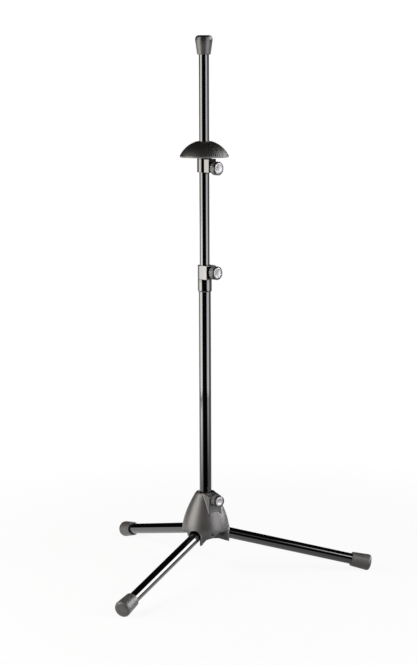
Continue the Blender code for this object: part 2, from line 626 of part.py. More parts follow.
def rubber_cap_outline(neck, wide, length, edge, socket, depth):
    """A rubber cap, mouth down at height 0, with a socket for a tube."""
    rounded = arc((wide - edge, length - edge), edge, math.pi / 2, 0.0)
    return [(0.0, length)] + rounded + [
        (neck, RUBBER_EDGE), (neck - RUBBER_EDGE, 0.0), (socket, 0.0), (socket, depth), (0.0, depth)]


def build_leg(side, floor):
    """A leg tube with its hinge bush and rubber foot. The anchor's +Z runs out along the leg."""
    x, y, angle = leg_direction(side)
    hinge = anchor("leg_" + side + "_hinge", (PIVOT_REACH * x, PIVOT_REACH * y, PIVOT_HEIGHT),
                   (0.0, math.pi / 2 + LEG_SLOPE, angle), stand)
    foot_start = LEG_LENGTH - FOOT_LENGTH
    tube_end = LEG_LENGTH - FOOT_ROOF - GAP
    bore = LEG_RADIUS - LEG_WALL
    leg = turned("leg_tube_" + side, tube_outline(LEG_RADIUS, bore, -LEG_TAIL, tube_end), LACQUER, hinge)
    drill = turned("leg_drill_" + side,
                   rod_outline(PIN_RADIUS + BORE_GAP, -2 * LEG_RADIUS, 2 * LEG_RADIUS), None, hinge,
                   steps=SMALL_STEPS, ring=False, rotation=(math.pi / 2, 0.0, 0.0))
    boolean(leg, drill)

    bush_radius = bore - BORE_GAP
    low = -LEG_TAIL - LEG_BUSH_NOSE - GAP
    bush = turned("leg_bush_" + side,
                  [(0.0, low + LEG_BUSH_LENGTH), (bush_radius, low + LEG_BUSH_LENGTH),
                   (bush_radius, low + LEG_BUSH_NOSE), (bush_radius - LEG_BUSH_NOSE, low),
                   (0.0, low)],
                  NYLON, hinge, steps=TUBE_STEPS, ring=False)
    boolean(bush, drill)

    foot = turned("foot_cap_" + side,
                  rubber_cap_outline(FOOT_NECK_RADIUS, FOOT_END_RADIUS, FOOT_LENGTH, FOOT_END_ROUND,
                                     LEG_RADIUS + BORE_GAP, FOOT_LENGTH - FOOT_ROOF),
                  RUBBER, hinge, ring=False, location=(0.0, 0.0, foot_start))
    boolean(foot, floor)


def build_pole():
    """The lower tube with its end plug and the collar that clamps the rod."""
    slide = anchor("pole_slide", (0.0, 0.0, 0.0), parent=stand)
    pole_bore = POLE_RADIUS - POLE_WALL
    pole_top = COLLAR_BOTTOM + COLLAR_SOCKET_DEPTH
    turned("pole_tube", tube_outline(POLE_RADIUS, pole_bore, POLE_BOTTOM, pole_top), LACQUER, slide)
    plug = pole_bore - BORE_GAP
    inside = POLE_BOTTOM + POLE_PLUG_DEPTH
    under = POLE_BOTTOM - GAP
    turned("pole_end_plug",
           [(0.0, inside), (plug - PLUG_EDGE, inside), (plug, inside - PLUG_EDGE), (plug, under),
            (POLE_RADIUS, under), (POLE_RADIUS, under - POLE_PLUG_FLANGE + PLUG_EDGE),
            (POLE_RADIUS - PLUG_EDGE, under - POLE_PLUG_FLANGE), (0.0, under - POLE_PLUG_FLANGE)],
           NYLON, slide, ring=False)

    bush_low = pole_top + GAP
    bush_high = bush_low + COLLAR_BUSH_HEIGHT
    collar = turned("pole_collar",
                    [(COLLAR_RADIUS - COLLAR_LIP, COLLAR_TOP), (COLLAR_RADIUS, COLLAR_TOP - COLLAR_LIP),
                     (COLLAR_RADIUS, COLLAR_BOTTOM + COLLAR_TAPER),
                     (POLE_BORE + COLLAR_LIP / 2, COLLAR_BOTTOM), (POLE_BORE, COLLAR_BOTTOM),
                     (POLE_BORE, bush_high + GAP), (ROD_BORE, bush_high + GAP), (ROD_BORE, COLLAR_TOP)],
                    LACQUER, slide)
    axis = clamp_anchor("collar", slide)
    boss = clamp_boss("collar", COLLAR_BOSS_HALF_WIDTH, COLLAR_BOSS_FRONT,
                      COLLAR_TOP - COLLAR_BOSS_HEIGHT, COLLAR_TOP - GAP, slide)
    boolean(collar, boss, "UNION")
    clear_bore("collar", collar, [(ROD_BORE, COLLAR_TOP + GAP), (ROD_BORE, bush_high + GAP),
                                  (POLE_BORE, bush_high + GAP), (POLE_BORE, COLLAR_BOTTOM - GAP)], slide)
    bore_for_clamp("collar", collar, axis)
    build_clamp("collar", axis)
    bush = anchor("collar_bush_turn", (0.0, 0.0, bush_low), parent=slide)
    turned("collar_guide_bush", tube_outline(ROD_BORE + GUIDE_BUSH_WALL, ROD_BORE, 0.0,
                                             COLLAR_BUSH_HEIGHT), NYLON, bush)


def clamp_boss(kind, half_width, front, low, high, parent):
    """The square boss on a collar or sleeve that carries the clamp screw."""
    return box(kind + "_boss", (0.0, -half_width, low), (front, half_width, high), None, parent,
               rotation=(0.0, 0.0, CLAMPS[kind]["azimuth"]))


def clear_bore(kind, piece, steps, parent):
    """Opens the bore again after the boss has been joined. The steps run from the top down."""
    outline = [(0.0, steps[0][1])] + steps + [(0.0, steps[-1][1])]
    boolean(piece, turned(kind + "_bore", outline, None, parent, ring=False))


def build_rod():
    """The upper tube with the plug that guides its lower end and the rubber cap on top."""
    slide = anchor("rod_slide", (0.0, 0.0, 0.0), parent=stand)
    rod_bore = ROD_RADIUS - ROD_WALL
    rod_top = CAP_TOP - CAP_ROOF - GAP
    turned("rod_tube", tube_outline(ROD_RADIUS, rod_bore, ROD_BOTTOM, rod_top), LACQUER, slide)
    plug = rod_bore - BORE_GAP
    guide = POLE_RADIUS - POLE_WALL - BORE_GAP
    inside = ROD_BOTTOM + ROD_PLUG_DEPTH
    under = ROD_BOTTOM - GAP
    turned("rod_guide_plug",
           [(0.0, inside), (plug - PLUG_EDGE, inside), (plug, inside - PLUG_EDGE), (plug, under),
            (guide, under), (guide, under - ROD_PLUG_FLANGE), (0.0, under - ROD_PLUG_FLANGE)],
           NYLON, slide, ring=False)

    wide = CAP_TOP - CAP_WIDE_DROP
    rounded = arc((CAP_WIDE_RADIUS - CAP_GROOVE - CAP_TOP_ROUND, CAP_TOP - CAP_TOP_ROUND),
                  CAP_TOP_ROUND, math.pi / 2, 0.0)
    socket = ROD_RADIUS + BORE_GAP
    turned("end_cap",
           [(0.0, CAP_TOP)] + rounded + [
               (CAP_WIDE_RADIUS - CAP_GROOVE, wide + 2 * CAP_GROOVE),
               (CAP_WIDE_RADIUS, wide + CAP_GROOVE), (CAP_WIDE_RADIUS, wide - CAP_GROOVE),
               (CAP_NECK_RADIUS, CAP_BOTTOM + RUBBER_EDGE),
               (CAP_NECK_RADIUS - RUBBER_EDGE, CAP_BOTTOM), (socket, CAP_BOTTOM),
               (socket, CAP_TOP - CAP_ROOF), (0.0, CAP_TOP - CAP_ROOF)],
           RUBBER, slide, ring=False)


def dome_outline():
    """The bell rest's closed outline: outer side down, rim, inner side up to the hub."""
    rim = DOME_RIM_HEIGHT + DOME_RIM
    centre = rim - math.sqrt(DOME_SPHERE ** 2 - DOME_RADIUS ** 2)
    crown = centre + math.sqrt(DOME_SPHERE ** 2 - DOME_CROWN_RADIUS ** 2)
    start = math.asin(DOME_CROWN_RADIUS / DOME_SPHERE)
    end = math.asin(DOME_RADIUS / DOME_SPHERE)
    outside = arc((0.0, centre), DOME_SPHERE, math.pi / 2 - start, math.pi / 2 - end, DOME_OUTER_STEPS)
    inner_sphere = DOME_SPHERE - DOME_WALL
    hub = SLEEVE_RADIUS + BORE_GAP
    hub_outer = hub + DOME_HUB_WALL
    first = math.asin((DOME_RADIUS - DOME_WALL) / inner_sphere)
    last = math.asin(hub_outer / inner_sphere)
    inside = arc((0.0, centre), inner_sphere, math.pi / 2 - first, math.pi / 2 - last, DOME_INNER_STEPS)
    hub_bottom = SLEEVE_SEAT_BOTTOM + SLEEVE_SEAT_HEIGHT + GAP
    ceiling = SLEEVE_TOP + GAP
    return ([(ROD_BORE, crown)] + outside + [(DOME_RADIUS, DOME_RIM_HEIGHT),
            (DOME_RADIUS - DOME_WALL, DOME_RIM_HEIGHT)] + inside
            + [(hub_outer, hub_bottom), (hub, hub_bottom), (hub, ceiling), (ROD_BORE, ceiling)])


def build_bell_rest():
    """The sleeve that clamps on the rod and the ribbed dome that it carries."""
    slide = anchor("rest_slide", (0.0, 0.0, 0.0), parent=stand)
    bush_low = SLEEVE_TOP - SLEEVE_BUSH_HEIGHT - GAP
    bush_bore = ROD_BORE + GUIDE_BUSH_WALL + GAP
    seat_top = SLEEVE_SEAT_BOTTOM + SLEEVE_SEAT_HEIGHT
    sleeve = turned("rest_sleeve",
                    [(SLEEVE_RADIUS, SLEEVE_TOP), (SLEEVE_RADIUS, seat_top),
                     (SLEEVE_SEAT_RADIUS, seat_top), (SLEEVE_SEAT_RADIUS, SLEEVE_SEAT_BOTTOM),
                     (SLEEVE_RADIUS, SLEEVE_SEAT_BOTTOM), (SLEEVE_RADIUS, SLEEVE_BOTTOM),
                     (ROD_BORE, SLEEVE_BOTTOM), (ROD_BORE, bush_low), (bush_bore, bush_low),
                     (bush_bore, SLEEVE_TOP)], LACQUER, slide)
    axis = clamp_anchor("rest", slide)
    boss = clamp_boss("rest", SLEEVE_BOSS_HALF_WIDTH, SLEEVE_BOSS_FRONT, SLEEVE_BOTTOM + GAP,
                      SLEEVE_BOTTOM + SLEEVE_BOSS_HEIGHT, slide)
    boolean(sleeve, boss, "UNION")
    clear_bore("rest", sleeve, [(ROD_BORE, bush_low), (ROD_BORE, SLEEVE_BOTTOM - GAP)], slide)
    bore_for_clamp("rest", sleeve, axis)
    build_clamp("rest", axis)

    bush = anchor("rest_bush_turn", (0.0, 0.0, bush_low + GAP), parent=slide)
    turned("rest_guide_bush", tube_outline(ROD_BORE + GUIDE_BUSH_WALL, ROD_BORE, 0.0,
                                           SLEEVE_BUSH_HEIGHT - GAP), NYLON, bush)
    dome = turned("bell_rest_dome", dome_outline(), DOME_PLASTIC, slide, steps=2 * DOME_RIBS)
    flute(dome, DOME_CROWN_RADIUS + DOME_RIB_HEIGHT, DOME_RIB_HEIGHT,
          DOME_RIM_HEIGHT + DOME_RIM + GAP, DOME_RIM_HEIGHT + DOME_SPHERE)


def centre_footprint():
    """Moves the stand so that its footprint's middle, along the right leg, is on the origin."""
    bpy.context.view_layer.update()
    depsgraph = bpy.context.evaluated_depsgraph_get()
    reach = []
    for side in LEG_ANGLES:
        foot = bpy.data.objects["foot_cap_" + side].evaluated_get(depsgraph)
        reach += [(foot.matrix_world @ Vector(corner.co)).x for corner in foot.data.vertices]
    stand.location.x = -(min(reach) + max(reach)) / 2


def main():
    build_base()
    floor = box("floor_cut", (-FOOT_REACH * 2, -FOOT_REACH * 2, -FOOT_REACH),
                (FOOT_REACH * 2, FOOT_REACH * 2, 0.0), None, None)
    for side in LEG_ANGLES:
        build_leg(side, floor)
    build_pole()
    build_rod()
    build_bell_rest()
    centre_footprint()


main()
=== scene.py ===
"""The looks of a folding trombone stand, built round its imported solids. Metres, +Z up."""

import json
import math

import bmesh
import bpy
from mathutils import Matrix, Vector


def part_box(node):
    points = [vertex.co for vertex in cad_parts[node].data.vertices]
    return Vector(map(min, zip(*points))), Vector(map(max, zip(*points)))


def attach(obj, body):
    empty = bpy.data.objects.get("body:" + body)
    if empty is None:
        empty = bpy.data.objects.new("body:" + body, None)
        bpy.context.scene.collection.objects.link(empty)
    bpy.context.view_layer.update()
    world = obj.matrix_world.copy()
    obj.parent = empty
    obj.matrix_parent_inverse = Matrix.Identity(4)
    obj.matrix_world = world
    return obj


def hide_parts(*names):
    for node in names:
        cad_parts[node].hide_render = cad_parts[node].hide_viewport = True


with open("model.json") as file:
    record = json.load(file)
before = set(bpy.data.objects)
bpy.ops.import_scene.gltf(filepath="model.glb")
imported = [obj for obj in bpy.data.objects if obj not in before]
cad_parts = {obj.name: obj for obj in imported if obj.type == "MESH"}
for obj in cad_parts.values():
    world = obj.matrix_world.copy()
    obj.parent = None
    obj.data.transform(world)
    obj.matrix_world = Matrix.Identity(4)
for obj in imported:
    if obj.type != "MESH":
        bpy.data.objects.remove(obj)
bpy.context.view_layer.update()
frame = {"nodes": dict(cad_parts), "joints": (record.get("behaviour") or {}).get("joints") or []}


# The camera: just under the height of the stand's top and 3.1 m from the pole, looking a little down, as
# the picture was taken. The picture is upright, 417 by 665, and its long side is the sensor's width.
CAMERA_DISTANCE = 3.1147
CAMERA_HEIGHT = 0.92255
CAMERA_ROUND = math.radians(-1.954)     # round the pole, from straight in front
CAMERA_PITCH = math.radians(8.609)      # downwards
CAMERA_ROLL = math.radians(-0.2008)
CAMERA_PAN = math.radians(0.1191)
LENS = 93.5
SENSOR_WIDTH = 36.0

pole_low, pole_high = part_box("pole_tube")
AXIS = Vector(((pole_low.x + pole_high.x) / 2, (pole_low.y + pole_high.y) / 2, 0.0))
forward = Vector((math.sin(CAMERA_PAN) * math.cos(CAMERA_PITCH),
                  math.cos(CAMERA_PAN) * math.cos(CAMERA_PITCH), -math.sin(CAMERA_PITCH)))
level = Vector((math.cos(CAMERA_PAN), -math.sin(CAMERA_PAN), 0.0))
right = math.cos(CAMERA_ROLL) * level + math.sin(CAMERA_ROLL) * level.cross(forward)
looking = Matrix((right, right.cross(forward), -forward)).transposed().to_4x4()
round_pole = Matrix.Rotation(CAMERA_ROUND, 4, "Z")
camera = bpy.data.objects.new("camera", bpy.data.cameras.new("camera"))
camera.data.lens = LENS
camera.data.sensor_width = SENSOR_WIDTH
camera.matrix_world = (Matrix.Translation(AXIS) @ round_pole
                       @ Matrix.Translation((0.0, -CAMERA_DISTANCE, CAMERA_HEIGHT)) @ looking)
bpy.context.scene.collection.objects.link(camera)
bpy.context.scene.camera = camera
bpy.context.scene.view_settings.view_transform = "Standard"


# The room: a pale floor that is clear from below, and a white surround low down behind. Gloss sees a dark
# room with a dim band high up in front, two tall soft boxes beside the camera, a warm one left and a cool
# one right, and a far window on the right.
ROOM_LIGHT = 0.07                       # dim light from all round
ROOM_GLOSS = 0.005                      # what gloss sees where the room is dark
HORIZON = 0.02                          # the surround is pale below this height of its unit sphere
HORIZON_FADE = 0.03
SURROUND_BACK = -0.1                    # and from just ahead of sideways round to the back
SURROUND_GLOSS = 0.42
WINDOW_BEARING = math.radians(110.0)    # right of the camera, seen from the pole
WINDOW_SIDE = 0.93                      # cosine of the angle from its middle to its sides
WINDOW_SILL = 0.13                      # heights on the unit sphere, as the band's are
WINDOW_HEAD = 0.64
WINDOW_GLOSS = 10.0
BAND_LOW = 0.5
BAND_HIGH = 0.85
BAND_GLOSS = 0.5
FLOOR_SIZE = 14.0
FLOOR_TO_LIGHT = 0.4                    # its tone as light meets it, and as the camera sees it
FLOOR_TO_CAMERA = 0.86
FLOOR_GLOSS = 0.5                       # what gloss sees of it, and what its left part adds
FLOOR_GLOSS_LEFT = 0.6
DARK_BEARING = math.radians(-6.0)       # in front, the floor is dark to gloss
DARK_SIDE = 0.68                        # cosine of the angle from the dark's middle to its sides
DARK_FRONT = 0.45                       # how far from the pole the dark starts
SHADOW = 0.1                            # the share of the lit floor that the camera sees near the stand
SHADOW_REACH = 0.45
BOX_DISTANCE = 1.7
SPILL_START = 0.75                      # gloss sees the boxes' light on the floor from here out
SOFT_BOXES = {
    "left": dict(bearing=-75.0, width=1.46, low=0.01, high=2.3, power=61.0, spill=4.2,
                 colour=(1.0, 0.965, 0.915)),
    "right": dict(bearing=58.0, width=1.38, low=0.01, high=2.3, power=43.0, spill=2.2,
                  colour=(0.975, 0.95, 1.0)),
}


class Wire:
    """A socket in a node tree. Sums on it add the Math nodes that work them out."""

    def __init__(self, tree, socket=None):
        self.tree = tree
        self.socket = socket

    def add(self, kind, settings=None, output=0, **sockets):
        """Adds a node: its settings first, then its sockets, by name or as i and a number. Returns
        one of its outputs."""
        node = self.tree.nodes.new(kind)
        for name, value in (settings or {}).items():
            setattr(node, name, value)
        for name, value in sockets.items():
            number = name[1:]
            key = int(number) if number.isdigit() else name.replace("_", " ")
            if isinstance(value, Wire):
                self.tree.links.new(value.socket, node.inputs[key])
            else:
                node.inputs[key].default_value = value
        return Wire(self.tree, node.outputs[output])

    def other(self, name):
        """Another output of the node that this one comes from."""
        return Wire(self.tree, self.socket.node.outputs[name])

    def math(self, operation, first, second=0.0, clamp=False):
        return self.add("ShaderNodeMath", {"operation": operation, "use_clamp": clamp}, i0=first, i1=second)

    def __add__(self, value):
        return self.math("ADD", self, value)

    def __radd__(self, value):
        return self.math("ADD", value, self)

    def __sub__(self, value):
        return self.math("SUBTRACT", self, value)

    def __rsub__(self, value):
        return self.math("SUBTRACT", value, self)

    def __mul__(self, value):
        return self.math("MULTIPLY", self, value)

    def __rmul__(self, value):
        return self.math("MULTIPLY", value, self)

    def __truediv__(self, value):
        return self.math("DIVIDE", self, value)

    def __pow__(self, value):
        return self.math("POWER", self, value)

    def clamped(self):
        return self.math("ADD", self, 0.0, clamp=True)

    def over(self, start, steepness):
        """0 up to a start, then rising to 1."""
        return ((self - start) * steepness).clamped()

    def under(self, end, steepness):
        """Falling from 1 to 0 at an end."""
        return ((end - self) * steepness).clamped()

    def between(self, first, second):
        """A colour between two, by this number from 0 to 1."""
        return self.add("ShaderNodeMix", {"data_type": "RGBA"}, output=2, i0=self, i6=first, i7=second)

    def places(self, kind="Object"):
        """Where a point lies along X, Y and Z, on the piece's own coordinates or another kind."""
        place = self.add("ShaderNodeTexCoord", output=kind)
        x = self.add("ShaderNodeSeparateXYZ", output="X", Vector=place)
        return x, x.other("Y"), x.other("Z")

    def noise(self, scale, detail=2.0, roughness=0.5):
        """Cloudy noise on the piece's own coordinates; scale is in lumps per metre."""
        place = self.add("ShaderNodeTexCoord", output="Object")
        return self.add("ShaderNodeTexNoise", Vector=place, Scale=scale, Detail=detail, Roughness=roughness)

    def bumps(self, strength, depth):
        """A bumpy normal, with this as its height."""
        return self.add("ShaderNodeBump", output="Normal", Strength=strength, Distance=depth, Height=self)


def new_finish(name):
    """A material with a bare Principled shader, the wire that starts its tree, and the shader."""
    made = bpy.data.materials.new(name)
    made.use_nodes = True
    return made, Wire(made.node_tree), made.node_tree.nodes["Principled BSDF"]


def feed(shader, **sockets):
    """Links or sets a shader's sockets."""
    for name, value in sockets.items():
        socket = shader.inputs[name.replace("_", " ")]
        if isinstance(value, Wire):
            value.tree.links.new(value.socket, socket)
        else:
            socket.default_value = value


def grey(value, warmth=0.0):
    """A grey, warmer above 0 and cooler below it."""
    return (value * (1 + warmth), value, value * (1 - warmth), 1.0)


world = bpy.data.worlds.new("surround")
bpy.context.scene.world = world
world.use_nodes = True
sky = Wire(world.node_tree)
camera_ray = sky.add("ShaderNodeLightPath", output="Is Camera Ray")
gloss_ray = camera_ray.other("Is Glossy Ray") + camera_ray.other("Is Transmission Ray")
x, y, z = sky.places("Generated")
flat = (x * x + y * y) ** 0.5
behind = (y / flat).over(SURROUND_BACK, 4.0) * ((HORIZON - z) / HORIZON_FADE).clamped()
facing = (x * math.sin(WINDOW_BEARING) - y * math.cos(WINDOW_BEARING)) / flat
window = facing.over(WINDOW_SIDE, 30.0) * z.over(WINDOW_SILL, 30.0) * z.under(WINDOW_HEAD, 12.0)
band = z.over(BAND_LOW, 6.0) * z.under(BAND_HIGH, 6.0) * (0.4 - 3.0 * y).clamped()
glossy = ROOM_GLOSS + behind * SURROUND_GLOSS + window * WINDOW_GLOSS + band * BAND_GLOSS
dim = sky.add("ShaderNodeBackground", Color=grey(1.0), Strength=ROOM_LIGHT)
gleam = sky.add("ShaderNodeBackground", Color=glossy, Strength=1.0)
white = sky.add("ShaderNodeBackground", Color=grey(1.0), Strength=1.0)
mixed = sky.add("ShaderNodeMixShader", i0=gloss_ray.clamped(), i1=dim, i2=gleam)
mixed = sky.add("ShaderNodeMixShader", i0=camera_ray, i1=mixed, i2=white)
sky.tree.links.new(mixed.socket, world.node_tree.nodes["World Output"].inputs["Surface"])

bpy.ops.mesh.primitive_plane_add(size=FLOOR_SIZE)
floor = bpy.context.object
floor.name = "floor"
paper, wire, shader = new_finish("paper_floor")
camera_ray = wire.add("ShaderNodeLightPath", output="Is Camera Ray")
gloss_ray = camera_ray.other("Is Glossy Ray") + camera_ray.other("Is Transmission Ray")
feed(shader, Base_Color=camera_ray.between(grey(FLOOR_TO_LIGHT), grey(FLOOR_TO_CAMERA)), Roughness=0.9)
x, y = wire.places()[:2]
away = (x * x + y * y) ** 0.5
facing = (x * math.sin(DARK_BEARING) - y * math.cos(DARK_BEARING)) / away
dark = facing.over(DARK_SIDE, 12.0) * away.over(DARK_FRONT, 6.0)
glossy = (FLOOR_GLOSS + FLOOR_GLOSS_LEFT * (0.5 - 2.0 * x).clamped()) * (1.0 - dark) + ROOM_GLOSS
for box in SOFT_BOXES.values():
    bearing = math.radians(box["bearing"]) + CAMERA_ROUND
    toward = x * math.sin(bearing) - y * math.cos(bearing)
    edge = math.cos(math.atan(box["width"] / 2 / BOX_DISTANCE))
    patch = (toward / away).over(edge, 20.0) * away.over(SPILL_START, 1.3)
    glossy = glossy + patch * toward.under(BOX_DISTANCE, 20.0) * box["spill"]
shown = camera_ray + (1.0 - camera_ray) * glossy
glow = wire.add("ShaderNodeEmission", Color=shown, Strength=1.0)
share = camera_ray * (1.0 - SHADOW + SHADOW * away.over(SHADOW_REACH, 2.0)) + gloss_ray
lit = Wire(paper.node_tree, shader.outputs["BSDF"])
mixed = wire.add("ShaderNodeMixShader", i0=share.clamped(), i1=lit, i2=glow)
below = wire.add("ShaderNodeNewGeometry", output="Backfacing")
mixed = wire.add("ShaderNodeMixShader", i0=below, i1=mixed, i2=wire.add("ShaderNodeBsdfTransparent"))
wire.tree.links.new(mixed.socket, paper.node_tree.nodes["Material Output"].inputs["Surface"])
floor.data.materials.append(paper)

for name, box in SOFT_BOXES.items():
    lamp = bpy.data.lights.new("soft_box_" + name, "AREA")
    lamp.shape = "RECTANGLE"
    lamp.size = box["width"]
    lamp.size_y = box["high"] - box["low"]
    lamp.energy = box["power"]
    lamp.color = box["colour"]
    stand = bpy.data.objects.new("soft_box_" + name, lamp)
    bearing = math.radians(box["bearing"]) + CAMERA_ROUND
    out = Vector((math.sin(bearing), -math.cos(bearing), 0.0))
    stand.location = AXIS + BOX_DISTANCE * out + Vector((0.0, 0.0, (box["low"] + box["high"]) / 2))
    stand.rotation_euler = (math.pi / 2, 0.0, bearing)
    bpy.context.scene.collection.objects.link(stand)


# The legs: three steel tubes in gloss black lacquer, each turning on a pin in the hood. The open leg
# falls towards its foot, and its end inside the hood is cut off square.
MM = 0.001
SIDES = ("right", "left", "front")
LEG_SLOPE = math.radians(13.2)
LEG_TAIL = 9.0 * MM             # past the pin, inside the hood
LEG_RADIUS = 10.0 * MM
LEG_WALL = 1.5 * MM
LEG_EDGE = 0.5 * MM
LEG_SHORT = 6.3 * MM            # the tube stops this far short of its foot's outer end
PIVOT_REACH = 30.0 * MM         # from the pole's axis to a pin
FOOT_REACH = 307.4 * MM         # and to the centre of a foot's outer end
ROUND_STEPS = 96
EASE_STEPS = 4
EASE_SHARE = 0.45               # rounding takes no more than this share of either side of a corner
HOLD = 0.3 * MM                 # a holding point lies this far past the rounding,
HOLD_SHARE = 0.04               # but never past this share of the side
SAME_POINT = 0.01 * MM          # points nearer than this are merged


def eased(outline, radius, closed=False, steps=EASE_STEPS):
    """A copy of an outline with its corners rounded. Each corner keeps within its own two sides, and a
    point just outside it holds the flat beside it flat."""
    points = [Vector(point) for point in outline]
    count = len(points)
    made = []
    for i, point in enumerate(points):
        if not closed and i in (0, count - 1):
            made.append(tuple(point))
            continue
        before = points[i - 1] - point
        after = points[(i + 1) % count] - point
        cut = min(radius, before.length * EASE_SHARE, after.length * EASE_SHARE)
        start = point + before.normalized() * cut
        end = point + after.normalized() * cut
        made.append(tuple(start + before.normalized() * min(HOLD, before.length * HOLD_SHARE)))
        for step in range(steps + 1):
            t = step / steps
            made.append(tuple((1 - t) ** 2 * start + 2 * t * (1 - t) * point + t ** 2 * end))
        made.append(tuple(end + after.normalized() * min(HOLD, after.length * HOLD_SHARE)))
    return made


def piece_from(name, shape, finish):
    """An object from a bmesh, smooth, with its faces pointing out."""
    bmesh.ops.remove_doubles(shape, verts=shape.verts, dist=SAME_POINT)
    bmesh.ops.recalc_face_normals(shape, faces=shape.faces)
    for face in shape.faces:
        face.smooth = True
    mesh = bpy.data.meshes.new(name)
    shape.to_mesh(mesh)
    shape.free()
    piece = bpy.data.objects.new(name, mesh)
    bpy.context.scene.collection.objects.link(piece)
    mesh.materials.append(finish)
    return piece


def turned(name, outline, finish, place=Matrix.Identity(4), steps=ROUND_STEPS):
    """An outline of (radius, height) points turned about Z. It is closed where it leaves the axis."""
    shape = bmesh.new()
    rings = [[shape.verts.new((radius * math.cos(2 * math.pi * i / steps),
                               radius * math.sin(2 * math.pi * i / steps), height))
              for i in range(steps)] for radius, height in outline]
    pairs = list(zip(rings, rings[1:]))
    if outline[0][0] > 0.0:
        pairs.append((rings[-1], rings[0]))
    for upper, lower in pairs:
        for i in range(steps):
            shape.faces.new((upper[i], upper[(i + 1) % steps], lower[(i + 1) % steps], lower[i]))
    bmesh.ops.transform(shape, matrix=place, verts=shape.verts)
    return piece_from(name, shape, finish)


def tube_outline(outer, inner, low, high, edge):
    """A tube with eased rims."""
    return eased([(outer, high), (outer, low), (inner, low), (inner, high)], edge, closed=True)


def hinge_place(side):
    """A leg's own place: on its hinge pin, with +Z out along the open leg."""
    hinge = [joint for joint in frame["joints"] if joint["child"] == "leg_" + side][0]
    out = Vector(hinge["axis"]).cross(Vector((0.0, 0.0, 1.0)))
    angle = math.atan2(out.y, out.x)
    return (Matrix.Translation(hinge["pos_m"]) @ Matrix.Rotation(angle, 4, "Z")
            @ Matrix.Rotation(math.pi / 2 + LEG_SLOPE, 4, "Y"))


def make_lacquer():
    """Stoved black lacquer: a hard clear gloss with a faint orange peel and a few dull marks."""
    made, wire, shader = new_finish("black_lacquer")
    peel = wire.noise(420.0, detail=1.0)
    marks = wire.noise(38.0, detail=4.0, roughness=0.6)
    feed(shader, Base_Color=marks.between(grey(0.0004), grey(0.0014, 0.05)),
         Roughness=0.05 + marks.over(0.55, 4.0) * 0.06, Normal=peel.bumps(0.015, 0.2 * MM), IOR=1.85)
    return made


lacquer = make_lacquer()
leg_length = (FOOT_REACH - PIVOT_REACH) / math.cos(LEG_SLOPE)
leg_outline = tube_outline(LEG_RADIUS, LEG_RADIUS - LEG_WALL, -LEG_TAIL, leg_length - LEG_SHORT, LEG_EDGE)
for side in SIDES:
    leg = turned("leg_" + side, leg_outline, lacquer, hinge_place(side))
    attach(leg, "leg_" + side)
    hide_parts("leg_tube_" + side)


# The feet: moulded rubber caps pushed on the legs, with a straight band at the mouth, a slight flare and
# a round end that is pressed flat where it stands. The rubber has a fine stipple all over.
FOOT_LENGTH = 37.0 * MM
FOOT_NECK_RADIUS = 13.2 * MM
FOOT_END_RADIUS = 15.3 * MM
FOOT_ROUND = 7.0 * MM
FOOT_ROUND_STEPS = 12
FOOT_ROOF = 6.0 * MM            # solid rubber beyond the end of the leg
FOOT_BAND = 2.0 * MM
FOOT_GAP = 0.3 * MM             # round the leg
FOOT_EDGE = 0.8 * MM


def make_rubber():
    """Dark grey rubber with a stipple and a bloom of dust."""
    made, wire, shader = new_finish("foot_rubber")
    stipple = wire.noise(1400.0, detail=2.0)
    bloom = wire.noise(90.0, detail=5.0, roughness=0.65)
    feed(shader, Base_Color=bloom.over(0.3, 1.8).between(grey(0.04, 0.07), grey(0.08, 0.04)),
         Roughness=0.33 + stipple * 0.16, Normal=stipple.bumps(0.6, 0.35 * MM), IOR=1.6)
    return made


rubber = make_rubber()
mouth = LEG_RADIUS + FOOT_GAP
roof = FOOT_LENGTH - FOOT_ROOF
foot_outline = eased([(0.0, FOOT_LENGTH), (FOOT_END_RADIUS, FOOT_LENGTH), (FOOT_NECK_RADIUS, FOOT_BAND)],
                     FOOT_ROUND, steps=FOOT_ROUND_STEPS)[:-1]
foot_outline += eased([(FOOT_NECK_RADIUS, FOOT_BAND), (FOOT_NECK_RADIUS, 0.0), (mouth, 0.0), (mouth, roof),
                       (0.0, roof)], FOOT_EDGE)
for side in SIDES:
    place = hinge_place(side) @ Matrix.Translation((0.0, 0.0, leg_length - FOOT_LENGTH))
    foot = turned("foot_" + side, foot_outline, rubber, place)
    for point in foot.data.vertices:
        point.co.z = max(point.co.z, 0.0)
    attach(foot, "leg_" + side)
    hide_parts("foot_cap_" + side)


# What shows of the fittings: nylon bushes and pads, black hinge pins, zinc plated screws and brass
# inserts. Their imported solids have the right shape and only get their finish.
def make_nylon():
    """Dark nylon with a fine grain."""
    made, wire, shader = new_finish("nylon")
    grain = wire.noise(900.0, detail=3.0)
    feed(shader, Base_Color=grain.between(grey(0.03), grey(0.055)), Roughness=0.45 + grain * 0.15,
         Normal=grain.bumps(0.25, 0.1 * MM))
    return made


def make_metal(name, colour, tint):
    """Plated or turned metal, cloudy between two colours."""
    made, wire, shader = new_finish(name)
    cloud = wire.noise(260.0, detail=4.0, roughness=0.7)
    feed(shader, Base_Color=cloud.between(colour, tint), Roughness=0.22 + cloud * 0.2, Metallic=1.0)
    return made


nylon = make_nylon()
zinc = make_metal("zinc_steel", grey(0.42), grey(0.62, -0.02))
black_steel = make_metal("black_steel", grey(0.02), grey(0.045, 0.04))
brass = make_metal("brass", (0.55, 0.4, 0.17, 1.0), (0.78, 0.62, 0.32, 1.0))
for node, piece in frame["nodes"].items():
    if node.endswith("_insert"):
        finish = brass
    elif node.startswith("hinge_pin"):
        finish = black_steel
    elif node.endswith("_screw"):
        finish = zinc
    else:
        finish = nylon
    piece.data.materials.clear()
    piece.data.materials.append(finish)


